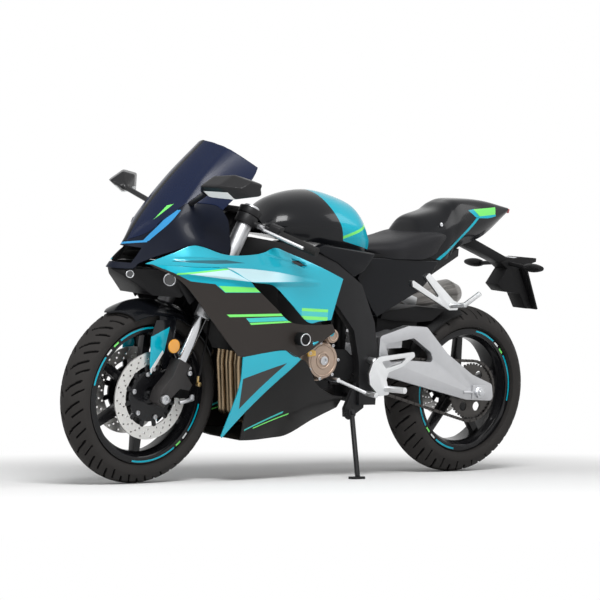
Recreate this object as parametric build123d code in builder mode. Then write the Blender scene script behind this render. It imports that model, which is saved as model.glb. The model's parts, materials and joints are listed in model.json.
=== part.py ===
"""Sport bike with full fairing, parked on its side stand with the bars turned a little to the left.

Everything is drawn in the bike's own upright frame: +X forward from the middle of the wheelbase,
+Y to the rider's left, +Z up from the ground. At the end the steered pieces turn about the steering
axis, and the whole bike leans over onto its stand. Lengths are in millimetres, angles in degrees.
"""
import os
from math import atan, cos, radians, sin, sqrt, tan

from build123d import *

os.makedirs("parts", exist_ok=True)

# Stance and chassis geometry
FRONT_AXLE = Vector(695, 0, 300)
PIVOT = Vector(-175, 0, 386)
ARM_LONG = 520
LEAN = 6.8
STEER_REST = 6.0
RAKE = 25
RAKE_OFFSET = 49.75
SEAM = 0.6
RUNNING = 0.05
SEAT_GAP = 0.3
MOVING_GAP = 13

# Wheels and tyres
RIM_SEAT_R = 216
FRONT_TYRE_TALL = 84
FRONT_TYRE_HALF = 60
REAR_TYRE_TALL = 96
REAR_TYRE_HALF = 80
RIM_WALL = 9
RIM_LIP = 12
FRONT_RIM_HALF = 46
REAR_RIM_HALF = 62
FRONT_SPOKES = 6
REAR_SPOKES = 5
HUB_R = 38
FRONT_HUB_HALF = 56
REAR_HUB_HALF = 66
FRONT_AXLE_R = 11
REAR_AXLE_R = 12

# Brakes and final drive
FRONT_DISC_R = 145
DISC_BAND = 43
REAR_DISC_R = 108
DISC_THICK = 5
SPROCKET_R = 103
SPROCKET_TEETH = 42
CHAIN_WIDE = 16
CHAIN_HALF = 7
DRIVE = Vector(-62, 0, 398)
DRIVE_R = 38

# Fork and bars
FORK_Y = 105
FORK_OFFSET = 30
FORK_OUTER_R = 27
FORK_INNER_R = 20
CLAMP_THICK = 24
STEM_R = 15
HEAD_R = 34
BAR_R = 11
GRIP_R = 16
GRIP_LONG = 125

# Swingarm
ARM_WALL = 30
ARM_CORNER = 16
WINDOW_CORNER = 12
PIVOT_R = 20

# Panels
SKIN = 4

FRONT_R = RIM_SEAT_R + FRONT_TYRE_TALL
REAR_R = RIM_SEAT_R + REAR_TYRE_TALL
AXLE_F = FRONT_AXLE.X
AXLE_FZ = FRONT_AXLE.Z
AXLE_R = PIVOT.X - ARM_LONG
GROUND_Z = AXLE_FZ - FRONT_R
FRONT_DISC_Y = FRONT_HUB_HALF + SEAT_GAP + DISC_THICK / 2
CHAIN_PITCH_R = SPROCKET_R + 8
CHAIN_Y = REAR_TYRE_HALF + 4 + CHAIN_WIDE / 2
ARM_IN = CHAIN_Y + CHAIN_WIDE / 2 + 4
ARM_OUT = ARM_IN + ARM_WALL
# The wider rear crown touches down slightly lower on the lean, so its axle sits a hair higher.
CROWN_SAG = 0.62
CROWN_RATIO = (1 + CROWN_SAG ** 2) / (2 * CROWN_SAG)
CROWN_F = CROWN_RATIO * FRONT_TYRE_HALF
CROWN_R = CROWN_RATIO * REAR_TYRE_HALF
REAR_AXLE_Z = GROUND_Z + REAR_R + (CROWN_R - CROWN_F) * (1 / cos(radians(LEAN)) - 1)
GROUND_DROP = CROWN_F * (1 - cos(radians(LEAN)))
FORK_UP = Vector(-sin(radians(RAKE)), 0, cos(radians(RAKE)))
FORK_AHEAD = Vector(cos(radians(RAKE)), 0, sin(radians(RAKE)))


def axis_x(z):
    """Where the steering axis passes at one height."""
    return AXLE_F - RAKE_OFFSET / cos(radians(RAKE)) - (z - AXLE_FZ) * tan(radians(RAKE))


STEER_FOOT = Vector(axis_x(AXLE_FZ), 0, AXLE_FZ)
STEER_AXIS = Axis(STEER_FOOT, FORK_UP)


def fork_plane(along, y=0.0, ahead=0.0):
    """Plane square to the fork, `along` mm up it from axle height, on the steering axis."""
    place = STEER_FOOT + Vector(0, y, 0) + FORK_UP * along + FORK_AHEAD * ahead
    return Plane(place, x_dir=FORK_AHEAD, z_dir=FORK_UP)


def fork_point(along, ahead):
    """Side-view point measured up the steering axis and square to it."""
    place = STEER_FOOT + FORK_UP * along + FORK_AHEAD * ahead
    return place.X, place.Z


def arm_point(share, rise):
    """Side-view point on the swingarm: share of the way to the axle, rise above the line between."""
    return PIVOT.X - share * ARM_LONG, PIVOT.Z + (REAR_AXLE_Z - PIVOT.Z) * share + rise


def side_slab(outline, y_low, y_high, corner=0):
    """Slab with a side-view outline of (x, z) points between two widths, its corners rounded if asked."""
    with BuildPart(mode=Mode.PRIVATE) as slab:
        with BuildSketch(Plane.XZ.offset(-y_high)):
            with BuildLine():
                if corner:
                    FilletPolyline(*outline, radius=corner, close=True)
                else:
                    Polyline(*outline, close=True)
            make_face()
        extrude(amount=y_high - y_low)
    return slab.part


def plan_slab(outline, z_low, z_high):
    """Slab with a plan-view outline of (x, y) points between two heights."""
    with BuildPart(mode=Mode.PRIVATE) as slab:
        with BuildSketch(Plane.XY.offset(z_low)):
            with BuildLine():
                Polyline(*outline, close=True)
            make_face()
        extrude(amount=z_high - z_low)
    return slab.part


def section_loft(planes_and_points, ruled=True):
    """Loft through closed polygons, one per plane."""
    with BuildPart(mode=Mode.PRIVATE) as body:
        for plane, points in planes_and_points:
            with BuildSketch(plane):
                with BuildLine():
                    Polyline(*points, close=True)
                make_face()
        loft(ruled=ruled)
    return body.part


def round_bar(start, end, radius):
    """Straight round bar between two points."""
    line = Vector(*end) - Vector(*start)
    with BuildPart(mode=Mode.PRIVATE) as bar:
        with BuildSketch(Plane(Vector(*start), z_dir=line)):
            Circle(radius)
        extrude(amount=line.length)
    return bar.part


def bent_bar(points, radius, bend):
    """Round bar along straight runs with rounded corners."""
    with BuildPart(mode=Mode.PRIVATE) as bar:
        with BuildLine() as path:
            FilletPolyline(*points, radius=bend)
        with BuildSketch(Plane(path.line @ 0, z_dir=path.line % 0)):
            Circle(radius)
        sweep()
    return bar.part


def both_sides(part):
    """The piece and its mirror image across the bike's middle plane."""
    return Compound([*part.solids(), *mirror(part, about=Plane.XZ, mode=Mode.PRIVATE).solids()])


# Wheels: spokes, rim barrel and hub are one casting, the tyre a separate ring
def wheel_plane(x, z):
    """Wheel's own plane: local X along the bike, local Y up, normal to the right."""
    return Plane((x, 0, z), x_dir=(1, 0, 0), z_dir=(0, -1, 0))


def build_rim(x, z, half, hub_half, spokes, bore):
    section = Plane((x, 0, z), x_dir=(0, 1, 0), z_dir=(1, 0, 0))
    seat, wall, lip = RIM_SEAT_R, RIM_WALL, RIM_LIP
    with BuildPart() as rim:
        with BuildSketch(section):
            with BuildLine():
                Polyline(
                    (-half, seat + lip), (-half + 6, seat + lip), (-half + 10, seat), (-half + 30, seat - 14),
                    (half - 30, seat - 14), (half - 10, seat), (half - 6, seat + lip), (half, seat + lip),
                    (half, seat - wall), (half - 12, seat - wall), (half - 32, seat - 14 - wall),
                    (-half + 32, seat - 14 - wall), (-half + 12, seat - wall), (-half, seat - wall), close=True,
                )
            make_face()
        revolve(axis=Axis((x, 0, z), (0, 1, 0)))
        with BuildSketch(wheel_plane(x, z).offset(-hub_half)):
            Circle(HUB_R)
        extrude(amount=2 * hub_half)
        spoke_half = 14
        with BuildSketch(wheel_plane(x, z).offset(-spoke_half)):
            with PolarLocations(0, spokes):
                Polygon((-19, 20), (19, 20), (12, seat - 18), (-12, seat - 18), align=None)
        extrude(amount=2 * spoke_half)
        with BuildSketch(wheel_plane(x, z).offset(-hub_half)):
            Circle(bore)
        extrude(amount=2 * hub_half, mode=Mode.SUBTRACT)
    return rim


def build_tyre(x, z, radius, half, rim_half):
    section = Plane((x, 0, z), x_dir=(0, 1, 0), z_dir=(1, 0, 0))
    bead = RIM_SEAT_R + SEAT_GAP
    inner = rim_half - 10 - 1
    shoulder = radius - half * CROWN_SAG
    with BuildPart() as tyre:
        with BuildSketch(section):
            with BuildLine():
                ThreePointArc((-half, shoulder), (0, radius), (half, shoulder))
                ThreePointArc((half, shoulder), (half - 1, (shoulder + bead + RIM_LIP) / 2), (inner + 3, bead + RIM_LIP + 3))
                Polyline((inner + 3, bead + RIM_LIP + 3), (inner, bead + 4), (inner, bead), (-inner, bead),
                         (-inner, bead + 4), (-inner - 3, bead + RIM_LIP + 3))
                ThreePointArc((-inner - 3, bead + RIM_LIP + 3), (-half + 1, (shoulder + bead + RIM_LIP) / 2), (-half, shoulder))
            make_face()
        revolve(axis=Axis((x, 0, z), (0, 1, 0)))
    return tyre


front_rim = build_rim(AXLE_F, AXLE_FZ, FRONT_RIM_HALF, FRONT_HUB_HALF, FRONT_SPOKES, FRONT_AXLE_R + RUNNING)
rear_rim = build_rim(AXLE_R, REAR_AXLE_Z, REAR_RIM_HALF, REAR_HUB_HALF, REAR_SPOKES, REAR_AXLE_R + RUNNING)
front_tyre = build_tyre(AXLE_F, AXLE_FZ, FRONT_R, FRONT_TYRE_HALF, FRONT_RIM_HALF)
rear_tyre = build_tyre(AXLE_R, REAR_AXLE_Z, REAR_R, REAR_TYRE_HALF, REAR_RIM_HALF)


def build_disc(x, z, outer, inner, y_mid, hub_hole, arms):
    """Brake disc ring carried by a star of arms on the hub."""
    with BuildPart() as disc:
        with BuildSketch(wheel_plane(x, z).offset(-y_mid - DISC_THICK / 2)):
            Circle(outer)
            Circle(inner, mode=Mode.SUBTRACT)
            with PolarLocations(0, arms):
                with Locations((0, (inner + hub_hole) / 2)):
                    Rectangle(20, inner - hub_hole + 10)
            Circle(hub_hole + 16)
            Circle(hub_hole, mode=Mode.SUBTRACT)
        extrude(amount=DISC_THICK)
    return disc


left_disc = build_disc(AXLE_F, AXLE_FZ, FRONT_DISC_R, FRONT_DISC_R - DISC_BAND, FRONT_DISC_Y, HUB_R - 8, 6)
with BuildPart() as front_discs:
    add(left_disc.part)
    mirror(about=Plane.XZ)
rear_disc_y = -REAR_HUB_HALF - SEAT_GAP - DISC_THICK / 2
rear_disc = build_disc(AXLE_R, REAR_AXLE_Z, REAR_DISC_R, REAR_DISC_R - DISC_BAND, rear_disc_y, HUB_R - 8, 5)

with BuildPart() as rear_sprocket:
    plane = wheel_plane(AXLE_R, REAR_AXLE_Z)
    with BuildSketch(plane.offset(-CHAIN_Y - 3)):
        Circle(SPROCKET_R - 5)
        with PolarLocations(SPROCKET_R - 4, SPROCKET_TEETH):
            Rectangle(8, 7)
        Circle(REAR_AXLE_R + 8, mode=Mode.SUBTRACT)
        with PolarLocations(66, 6):
            Circle(17, mode=Mode.SUBTRACT)
    extrude(amount=6)
    with BuildSketch(plane.offset(-CHAIN_Y + 3)):
        Circle(48)
        Circle(REAR_AXLE_R + 8, mode=Mode.SUBTRACT)
    extrude(amount=CHAIN_Y - 3 - REAR_HUB_HALF - SEAT_GAP)

# Fork, clamps and bars
FOOT_TOP = 118
LOWER_CLAMP = 424
CLAMP_RISE = 232
UPPER_CLAMP = LOWER_CLAMP + CLAMP_RISE
BAR_CLAMP = UPPER_CLAMP - 34
FORK_TOP = UPPER_CLAMP + CLAMP_THICK + 10
OUTER_LOW = LOWER_CLAMP - 147
STANCHION_TOP = OUTER_LOW + 15

with BuildPart() as left_outer:
    with BuildSketch(fork_plane(OUTER_LOW, FORK_Y, FORK_OFFSET)):
        Circle(FORK_OUTER_R)
    extrude(amount=FORK_TOP - OUTER_LOW)
    with BuildSketch(fork_plane(OUTER_LOW, FORK_Y, FORK_OFFSET)):
        Circle(FORK_INNER_R + SEAT_GAP)
    extrude(amount=STANCHION_TOP - OUTER_LOW, mode=Mode.SUBTRACT)
    chamfer(left_outer.edges().filter_by(GeomType.CIRCLE).group_by(SortBy.RADIUS)[-1], 2)
with BuildPart() as fork_outer_tubes:
    add(both_sides(left_outer.part))

with BuildPart() as left_stanchion:
    with BuildSketch(fork_plane(FOOT_TOP, FORK_Y, FORK_OFFSET)):
        Circle(FORK_INNER_R)
    extrude(amount=STANCHION_TOP - FOOT_TOP)
with BuildPart() as fork_stanchions:
    add(both_sides(left_stanchion.part))

FOOT_HALF = 24
# Foot outline as (along, ahead) on the fork: tube socket, axle clamp, then the two caliper lugs behind
foot_outline = [
    (FOOT_TOP, FORK_OFFSET - 25), (FOOT_TOP, FORK_OFFSET + 25), (58, FORK_OFFSET + 23), (0, RAKE_OFFSET + 22),
    (-44, RAKE_OFFSET + 16), (-47, RAKE_OFFSET - 16), (-14, RAKE_OFFSET - 26), (34, FORK_OFFSET - 26),
    (44, FORK_OFFSET - 64), (66, FORK_OFFSET - 66), (84, FORK_OFFSET - 26),
]
with BuildPart() as left_foot:
    add(side_slab([fork_point(*place) for place in foot_outline], FORK_Y - FOOT_HALF, FORK_Y + FOOT_HALF))
    with BuildSketch(wheel_plane(AXLE_F, AXLE_FZ).offset(-FORK_Y - FOOT_HALF)):
        Circle(FRONT_AXLE_R + RUNNING)
    extrude(amount=2 * FOOT_HALF, mode=Mode.SUBTRACT)
with BuildPart() as fork_feet:
    add(both_sides(left_foot.part))

with BuildPart() as front_axle:
    with BuildSketch(wheel_plane(AXLE_F, AXLE_FZ).offset(-FORK_Y - FOOT_HALF - 4)):
        Circle(FRONT_AXLE_R)
        Circle(FRONT_AXLE_R - 4, mode=Mode.SUBTRACT)
    extrude(amount=2 * (FORK_Y + FOOT_HALF + 4))
    spacer = FORK_Y - FOOT_HALF - FRONT_HUB_HALF - SEAT_GAP * 2
    for side in (1, -1):
        with BuildSketch(wheel_plane(AXLE_F, AXLE_FZ).offset(-side * (FRONT_HUB_HALF + SEAT_GAP + spacer / 2) - spacer / 2)):
            Circle(FRONT_AXLE_R + 6)
            Circle(FRONT_AXLE_R - 2, mode=Mode.SUBTRACT)
        extrude(amount=spacer)

with BuildPart() as triple_clamps:
    for along in (LOWER_CLAMP, UPPER_CLAMP):
        with BuildSketch(fork_plane(along)):
            with Locations((FORK_OFFSET, FORK_Y), (FORK_OFFSET, -FORK_Y)):
                Circle(FORK_OUTER_R + 12)
            Circle(HEAD_R)
            with Locations((FORK_OFFSET / 2 + 4, 0)):
                Rectangle(48, 2 * FORK_Y)
            with Locations((FORK_OFFSET, FORK_Y), (FORK_OFFSET, -FORK_Y)):
                Circle(FORK_OUTER_R + SEAT_GAP / 3, mode=Mode.SUBTRACT)
        extrude(amount=CLAMP_THICK)
    with BuildSketch(fork_plane(LOWER_CLAMP)):
        Circle(STEM_R)
    extrude(amount=UPPER_CLAMP - LOWER_CLAMP + CLAMP_THICK + 8)

BAR_DROP = Vector(-0.38, 0.885, -0.275).normalized()
bar_root = fork_plane(BAR_CLAMP + 16, FORK_Y, FORK_OFFSET).origin + BAR_DROP * (FORK_OUTER_R + 2)
bar_tip = bar_root + BAR_DROP * 235
with BuildPart() as left_bar:
    with BuildSketch(fork_plane(BAR_CLAMP, FORK_Y, FORK_OFFSET)):
        Circle(FORK_OUTER_R + 10)
    extrude(amount=32)
    add(round_bar(bar_root, bar_tip, BAR_R))
    with BuildSketch(fork_plane(BAR_CLAMP, FORK_Y, FORK_OFFSET)):
        Circle(FORK_OUTER_R + SEAT_GAP / 3)
    extrude(amount=32, mode=Mode.SUBTRACT)
    pod = bar_root + BAR_DROP * 66 + Vector(-4, 0, 9)
    with BuildSketch(Plane(pod, x_dir=(0.919, 0.395, 0), z_dir=BAR_DROP)):
        RectangleRounded(38, 38, 10)
    extrude(amount=38)
with BuildPart() as clip_ons:
    add(both_sides(left_bar.part))

grip_start = bar_root + BAR_DROP * (235 - GRIP_LONG)
with BuildPart() as left_grip:
    with BuildSketch(Plane(grip_start, z_dir=BAR_DROP)):
        Circle(GRIP_R)
        Circle(BAR_R + SEAT_GAP / 3, mode=Mode.SUBTRACT)
    extrude(amount=GRIP_LONG)
    with BuildSketch(Plane(bar_tip + BAR_DROP * SEAT_GAP, z_dir=BAR_DROP)):
        Circle(GRIP_R)
    extrude(amount=14)
with BuildPart() as grips:
    add(both_sides(left_grip.part))

lever_root = bar_root + BAR_DROP * 45 + Vector(14, 0, 5)
with BuildPart() as left_lever:
    add(round_bar(bar_root + BAR_DROP * 45, lever_root + Vector(18, 6, 2), 8))
    add(bent_bar([lever_root + Vector(13, 2, 2), lever_root + Vector(20, 36, -8), lever_root + Vector(-36, 172, -50)], 5.5, 12))
with BuildPart() as levers:
    add(both_sides(left_lever.part))
    add(clip_ons.part, mode=Mode.SUBTRACT)

# Front fender arches over the tyre with a side skirt down to each fork foot
FENDER_R = FRONT_R + 9
FENDER_WALL = 4
FENDER_HALF = FORK_Y - FOOT_HALF - 9
FENDER_EDGE_R = FENDER_R - 46
with BuildPart() as fender_arch:
    section = Plane((AXLE_F, 0, AXLE_FZ), x_dir=(0, 1, 0), z_dir=(1, 0, 0))
    with BuildSketch(section):
        with BuildLine():
            rim_y, rim_r = FENDER_HALF + 3, FENDER_EDGE_R + 3
            ThreePointArc((-FENDER_HALF, FENDER_EDGE_R), (0, FENDER_R), (FENDER_HALF, FENDER_EDGE_R))
            Line((FENDER_HALF, FENDER_EDGE_R), (rim_y, rim_r))
            ThreePointArc((rim_y, rim_r), (0, FENDER_R + FENDER_WALL), (-rim_y, rim_r))
            Line((-rim_y, rim_r), (-FENDER_HALF, FENDER_EDGE_R))
        make_face()
    revolve(axis=Axis((AXLE_F, 0, AXLE_FZ), (0, 1, 0)), revolution_arc=92)
fender_turn = fender_arch.part.rotate(Axis((AXLE_F, 0, AXLE_FZ), (0, 1, 0)), -60)


def fender_edge(x):
    """Point just inside the arch's lower edge."""
    return x, AXLE_FZ + sqrt(FENDER_EDGE_R ** 2 - (x - AXLE_F) ** 2) + 1.5


fender_bolt = fork_point(FOOT_TOP - 28, FORK_OFFSET + 8)
with BuildPart() as left_skirt:
    skirt_low = [(fender_bolt[0] + 30, fender_bolt[1] - 6), (fender_bolt[0] - 12, fender_bolt[1] - 14)]
    add(side_slab([fender_edge(AXLE_F - 67), fender_edge(AXLE_F + 5)] + skirt_low, FENDER_HALF - 1, FENDER_HALF + 3))
    with BuildSketch(wheel_plane(*fender_bolt).offset(-FORK_Y + FOOT_HALF + SEAT_GAP)):
        Circle(9)
    extrude(amount=FORK_Y - FOOT_HALF - FENDER_HALF - 1)
with BuildPart() as front_fender:
    add(fender_turn)
    add(both_sides(left_skirt.part))
    # The front end is drawn to a point
    point_x = AXLE_F + FENDER_R * sin(radians(32)) + 8
    for side in (1, -1):
        corner_cut = [(point_x, 4 * side), (point_x, 90 * side), (point_x - 96, 90 * side)]
        add(plan_slab(corner_cut, AXLE_FZ, AXLE_FZ + 2 * FENDER_R), mode=Mode.SUBTRACT)

# Frame: side outline crossed with a plan outline gives the twin spars
spar_outline = [
    (404, 745), (386, 826), (334, 832), (137, 806), (19, 762), (-100, 690), (-172, 560), (-204, 420), (-204, 270),
    (-127, 270), (-112, 420), (-78, 530), (0, 612), (110, 672), (260, 712),
]
SPAR_IN = CHAIN_Y + CHAIN_WIDE / 2 + 8
SPAR_WALL = 30
spar_plan = [
    (404, 22), (404, 40), (340, 66), (262, 118), (150, 138), (-60, SPAR_IN + SPAR_WALL + 8), (-210, SPAR_IN + SPAR_WALL),
    (-210, SPAR_IN), (-60, SPAR_IN + 4), (150, 106), (252, 84), (340, 30),
]
HEAD_LOW = LOWER_CLAMP + CLAMP_THICK + 1
HEAD_HIGH = UPPER_CLAMP - 1
with BuildPart() as left_spar:
    add(side_slab(spar_outline, 0, 200))
    add(plan_slab(spar_plan, 200, 900), mode=Mode.INTERSECT)
with BuildPart() as main_frame:
    add(both_sides(left_spar.part))
    with BuildSketch(fork_plane(HEAD_LOW)):
        Circle(HEAD_R)
    extrude(amount=HEAD_HIGH - HEAD_LOW)
    add(side_slab([(axis_x(745) - 12, 745), (axis_x(806) - 2, 806), (330, 800), (345, 740)], -45, 45))
    with BuildSketch(fork_plane(HEAD_LOW)):
        Circle(STEM_R + RUNNING)
    extrude(amount=HEAD_HIGH - HEAD_LOW, mode=Mode.SUBTRACT)
    for x, z, radius in ((-145, 285, 14), (-122, 640, 16)):
        with BuildSketch(wheel_plane(x, z).offset(-112)):
            Circle(radius)
        extrude(amount=224)

# Engine: crankcase, leaning cylinder block and sump as one casting, with side covers
ENGINE_HALF = 118
ENGINE_LEFT = 76
with BuildPart() as engine_block:
    add(side_slab([(-55, 322), (-58, 440), (-40, 520), (60, 545), (250, 500), (290, 380), (270, 322)], -ENGINE_HALF, ENGINE_LEFT))
    add(side_slab([(0, 322), (0, 500), (60, 545), (250, 500), (290, 380), (270, 322)], ENGINE_LEFT - 6, ENGINE_HALF))
    add(side_slab([(70, 330), (80, 240), (250, 240), (270, 330)], -72, 72))
    add(side_slab([(20, 530), (110, 668), (240, 640), (285, 560), (250, 480)], -100, 100))
    add(side_slab([(96, 640), (112, 716), (140, 716), (150, 640)], -105.4, 105.4))
GENERATOR = (84, 430)
GENERATOR_R = 68
with BuildPart() as generator_cover:
    with BuildSketch(wheel_plane(*GENERATOR).offset(-ENGINE_HALF - SEAT_GAP)):
        Circle(GENERATOR_R + 6)
    extrude(amount=-40)
    with BuildSketch(wheel_plane(*GENERATOR).offset(-ENGINE_HALF - 40)):
        Circle(GENERATOR_R)
    extrude(amount=-32, taper=12)
with BuildPart() as clutch_cover:
    with BuildSketch(wheel_plane(60, 430).offset(ENGINE_HALF + SEAT_GAP)):
        Circle(92)
    extrude(amount=44)
    with BuildSketch(wheel_plane(60, 430).offset(ENGINE_HALF + 44)):
        Circle(80)
    extrude(amount=14, taper=20)
with BuildPart() as drive_sprocket_cover:
    cover_y = CHAIN_Y + CHAIN_WIDE / 2 + 6
    add(side_slab([(-112, 380), (-108, 430), (-70, 462), (-4, 462), (-4, 340), (-70, 340)], cover_y, cover_y + 14, 12))
    with BuildSketch(wheel_plane(DRIVE.X, DRIVE.Z).offset(-cover_y)):
        Circle(14)
    extrude(amount=cover_y - ENGINE_LEFT - SEAT_GAP)
    with BuildSketch(wheel_plane(DRIVE.X, DRIVE.Z).offset(-CHAIN_Y - 3)):
        Circle(DRIVE_R - CHAIN_HALF - SEAM)
    extrude(amount=6)

with BuildPart() as radiator:
    add(side_slab([(415, 640), (380, 648), (345, 455), (378, 447)], -150, 150))
    for y in (38, -58):
        add(side_slab([(382, 640), (412, 636), (366, 742), (346, 738)], y, y + 20))
    add(main_frame.part, mode=Mode.SUBTRACT)

HEADER_R = 19
header_normal = Vector(80, 0, 45).normalized()
with BuildPart() as exhaust_headers:
    for y in (-78, -26, 26, 78):
        start = Vector(262.5, y, 600) + header_normal * SEAT_GAP
        add(bent_bar([start + header_normal * 6, (308, y, 624), (316, y, 400), (294, y, 226), (200, y, 209)], HEADER_R, 20))
        with BuildSketch(Plane(start, z_dir=header_normal)):
            Circle(HEADER_R + 5)
        extrude(amount=10)
    add(side_slab([(232, 188), (180, 190), (180, 234), (232, 234)], -104, 104))
    add(bent_bar([(205, -88, 212), (110, -100, 240), (-60, -126, 246), (-215, -152, 238), (-400, -186, 462), (-500, -198, 600)], 22, 60))

MUFFLER_R = 58
BOX_HALF = 110.4
PLATE_THICK = 10.3
PLATE_OUT = BOX_HALF + SEAT_GAP + PLATE_THICK
MUFFLER_BOLT = (-566, 626)
muffler_start = Vector(-494, -197, 598)
muffler_dir = Vector(-360, -8, 60).normalized()
with BuildPart() as muffler:
    with BuildSketch(Plane(muffler_start, z_dir=muffler_dir)):
        Circle(30)
    with BuildSketch(Plane(muffler_start + muffler_dir * 70, z_dir=muffler_dir)):
        Circle(MUFFLER_R)
    loft()
    with BuildSketch(Plane(muffler_start + muffler_dir * 70, z_dir=muffler_dir)):
        Circle(MUFFLER_R)
    extrude(amount=250)
    with BuildSketch(Plane(muffler_start + muffler_dir * 320, z_dir=muffler_dir)):
        Circle(MUFFLER_R)
    with BuildSketch(Plane(muffler_start + muffler_dir * 365, z_dir=muffler_dir)):
        Circle(34)
    loft()
    with BuildSketch(Plane(muffler_start + muffler_dir * 320, z_dir=muffler_dir)):
        Circle(24)
    extrude(amount=60, mode=Mode.SUBTRACT)
    with BuildSketch(wheel_plane(*MUFFLER_BOLT).offset(PLATE_OUT + SEAT_GAP)):
        Circle(9)
    extrude(amount=MUFFLER_R)
    add(exhaust_headers.part, mode=Mode.SUBTRACT)


def ring_points(half):
    """Closed section from the left half's (y, z) points, mirrored."""
    return half + [(-y, z) for y, z in reversed(half) if y > 0]


tank_sections = [
    (292, [(0, 900), (48, 892), (70, 872), (66, 846)]),
    (217, [(0, 972), (76, 950), (120, 892), (108, 838)]),
    (78, [(0, 1006), (95, 976), (152, 898), (122, 824)]),
    (-60, [(0, 985), (90, 956), (142, 885), (120, 812)]),
    (-118, [(0, 955), (76, 930), (120, 868), (110, 806)]),
    (-150, [(0, 905), (60, 890), (98, 850), (95, 806)]),
]
with BuildPart() as fuel_tank:
    add(section_loft([(Plane.YZ.offset(x), ring_points(half)) for x, half in tank_sections]))

with BuildPart() as tank_side_covers:
    cover_outline = [(128, 803.4), (19, 762.7), (-60, 715), (-104, 738), (-150, 800), (-118, 804), (-60, 810), (78, 823)]
    add(both_sides(side_slab(cover_outline, BOX_HALF + 1.6, BOX_HALF + 37.6)))
    add(fuel_tank.part, mode=Mode.SUBTRACT)

# Seat pad: its back half runs on beside and under the tail's hump
seat_sections = [
    (-151, [(0, 838), (66, 832), (90, 815), (80, 800)]),
    (-250, [(0, 856), (95, 848), (124, 820), (112, 786)]),
    (-340, [(0, 868), (102, 864), (128, 834), (118, 786)]),
    (-430, [(0, 872), (106, 870), (130, 846), (118, 792)]),
    (-490, [(0, 876), (102, 874), (122, 862), (106, 816)]),
]
with BuildPart() as rider_seat:
    add(section_loft([(Plane.YZ.offset(x), ring_points(half)) for x, half in seat_sections]))


def grown(half):
    """Half section pushed out by the seam."""
    (_, top), (ay, az), (by, bz), (cy, cz) = half
    return [(0, top + SEAM), (ay + SEAM, az + SEAM), (by + 2 * SEAM, bz), (cy + SEAM, cz - 2 * SEAM)]


with BuildPart() as seat_pocket:
    pocket_rows = [(x, grown(half)) for x, half in seat_sections]
    pocket_rows[-1] = (seat_sections[-1][0] - SEAM, pocket_rows[-1][1])
    add(section_loft([(Plane.YZ.offset(x), ring_points(half)) for x, half in pocket_rows]))

tail_sections = [
    (-338, [(0, 896), (58, 890), (88, 874), (92, 862), (86, 850)]),
    (-372, [(0, 950), (70, 940), (106, 888), (116, 846), (108, 800)]),
    (-480, [(0, 985), (72, 975), (108, 915), (118, 850), (105, 790)]),
    (-590, [(0, 1016), (66, 1006), (96, 940), (100, 890), (80, 842)]),
    (-733, [(0, 1016), (48, 1008), (70, 950), (66, 915), (50, 886)]),
    (-880, [(0, 998), (18, 996), (24, 990), (22, 984), (16, 978)]),
]
with BuildPart() as tail_cowl:
    add(section_loft([(Plane.YZ.offset(x), ring_points(half)) for x, half in tail_sections]))
    add(seat_pocket.part, mode=Mode.SUBTRACT)
with BuildPart() as tail_lamp:
    add(side_slab([(-880.5, 995), (-892, 992), (-888, 976), (-880.5, 980)], -20, 20))

# The subframe's rails run from the cross tube through the under-seat box to the tail
RAIL_IN = 60
RAIL_WALL = 14
rail_outline = [(-108, 692), (-108, 636), (-150, 636), (-420, 700), (-600, 806), (-600, 834), (-420, 768)]
with BuildPart() as seat_subframe:
    add(both_sides(side_slab(rail_outline, RAIL_IN, RAIL_IN + RAIL_WALL)))
    add(main_frame.part, mode=Mode.SUBTRACT)
with BuildPart() as underseat_box:
    box_outline = [(-151, 785.5), (-104, 712), (-177, 607), (-206, 578), (-394, 675), (-433, 713), (-474, 785.5)]
    add(side_slab(box_outline, -BOX_HALF, BOX_HALF))
    rail_slot = side_slab(rail_outline, RAIL_IN - SEAT_GAP, RAIL_IN + RAIL_WALL + SEAT_GAP)
    add(both_sides(rail_slot), mode=Mode.SUBTRACT)

# Plate hanger, plate and indicators
with BuildPart() as plate_hanger:
    add(side_slab([(-640, 858), (-700, 876), (-880, 812), (-985, 806), (-1040, 640), (-1032, 638), (-965, 780), (-880, 780)], -32, 32))
    add(side_slab([(-963, 790), (-1042, 622), (-1036, 619), (-957, 787)], -58, 58))
    for y in (1, -1):
        add(round_bar((-898, 20 * y, 790), (-898, 120 * y, 780), 8))
    add(tail_cowl.part, mode=Mode.SUBTRACT)
with BuildPart() as rear_indicators:
    for y in (1, -1):
        for out, long, tall in ((120.9, 14, 11), (150, 22, 16), (205, 14, 9)):
            with BuildSketch(Plane((-898, out * y, 780), x_dir=(1, 0, 0), z_dir=(0, y, 0))):
                Ellipse(long, tall)
        loft()

# Swingarm, axle, chain, hugger, shock
TYRE_FRONT = AXLE_R + REAR_R
BRACE_BACK = TYRE_FRONT + 53
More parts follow.
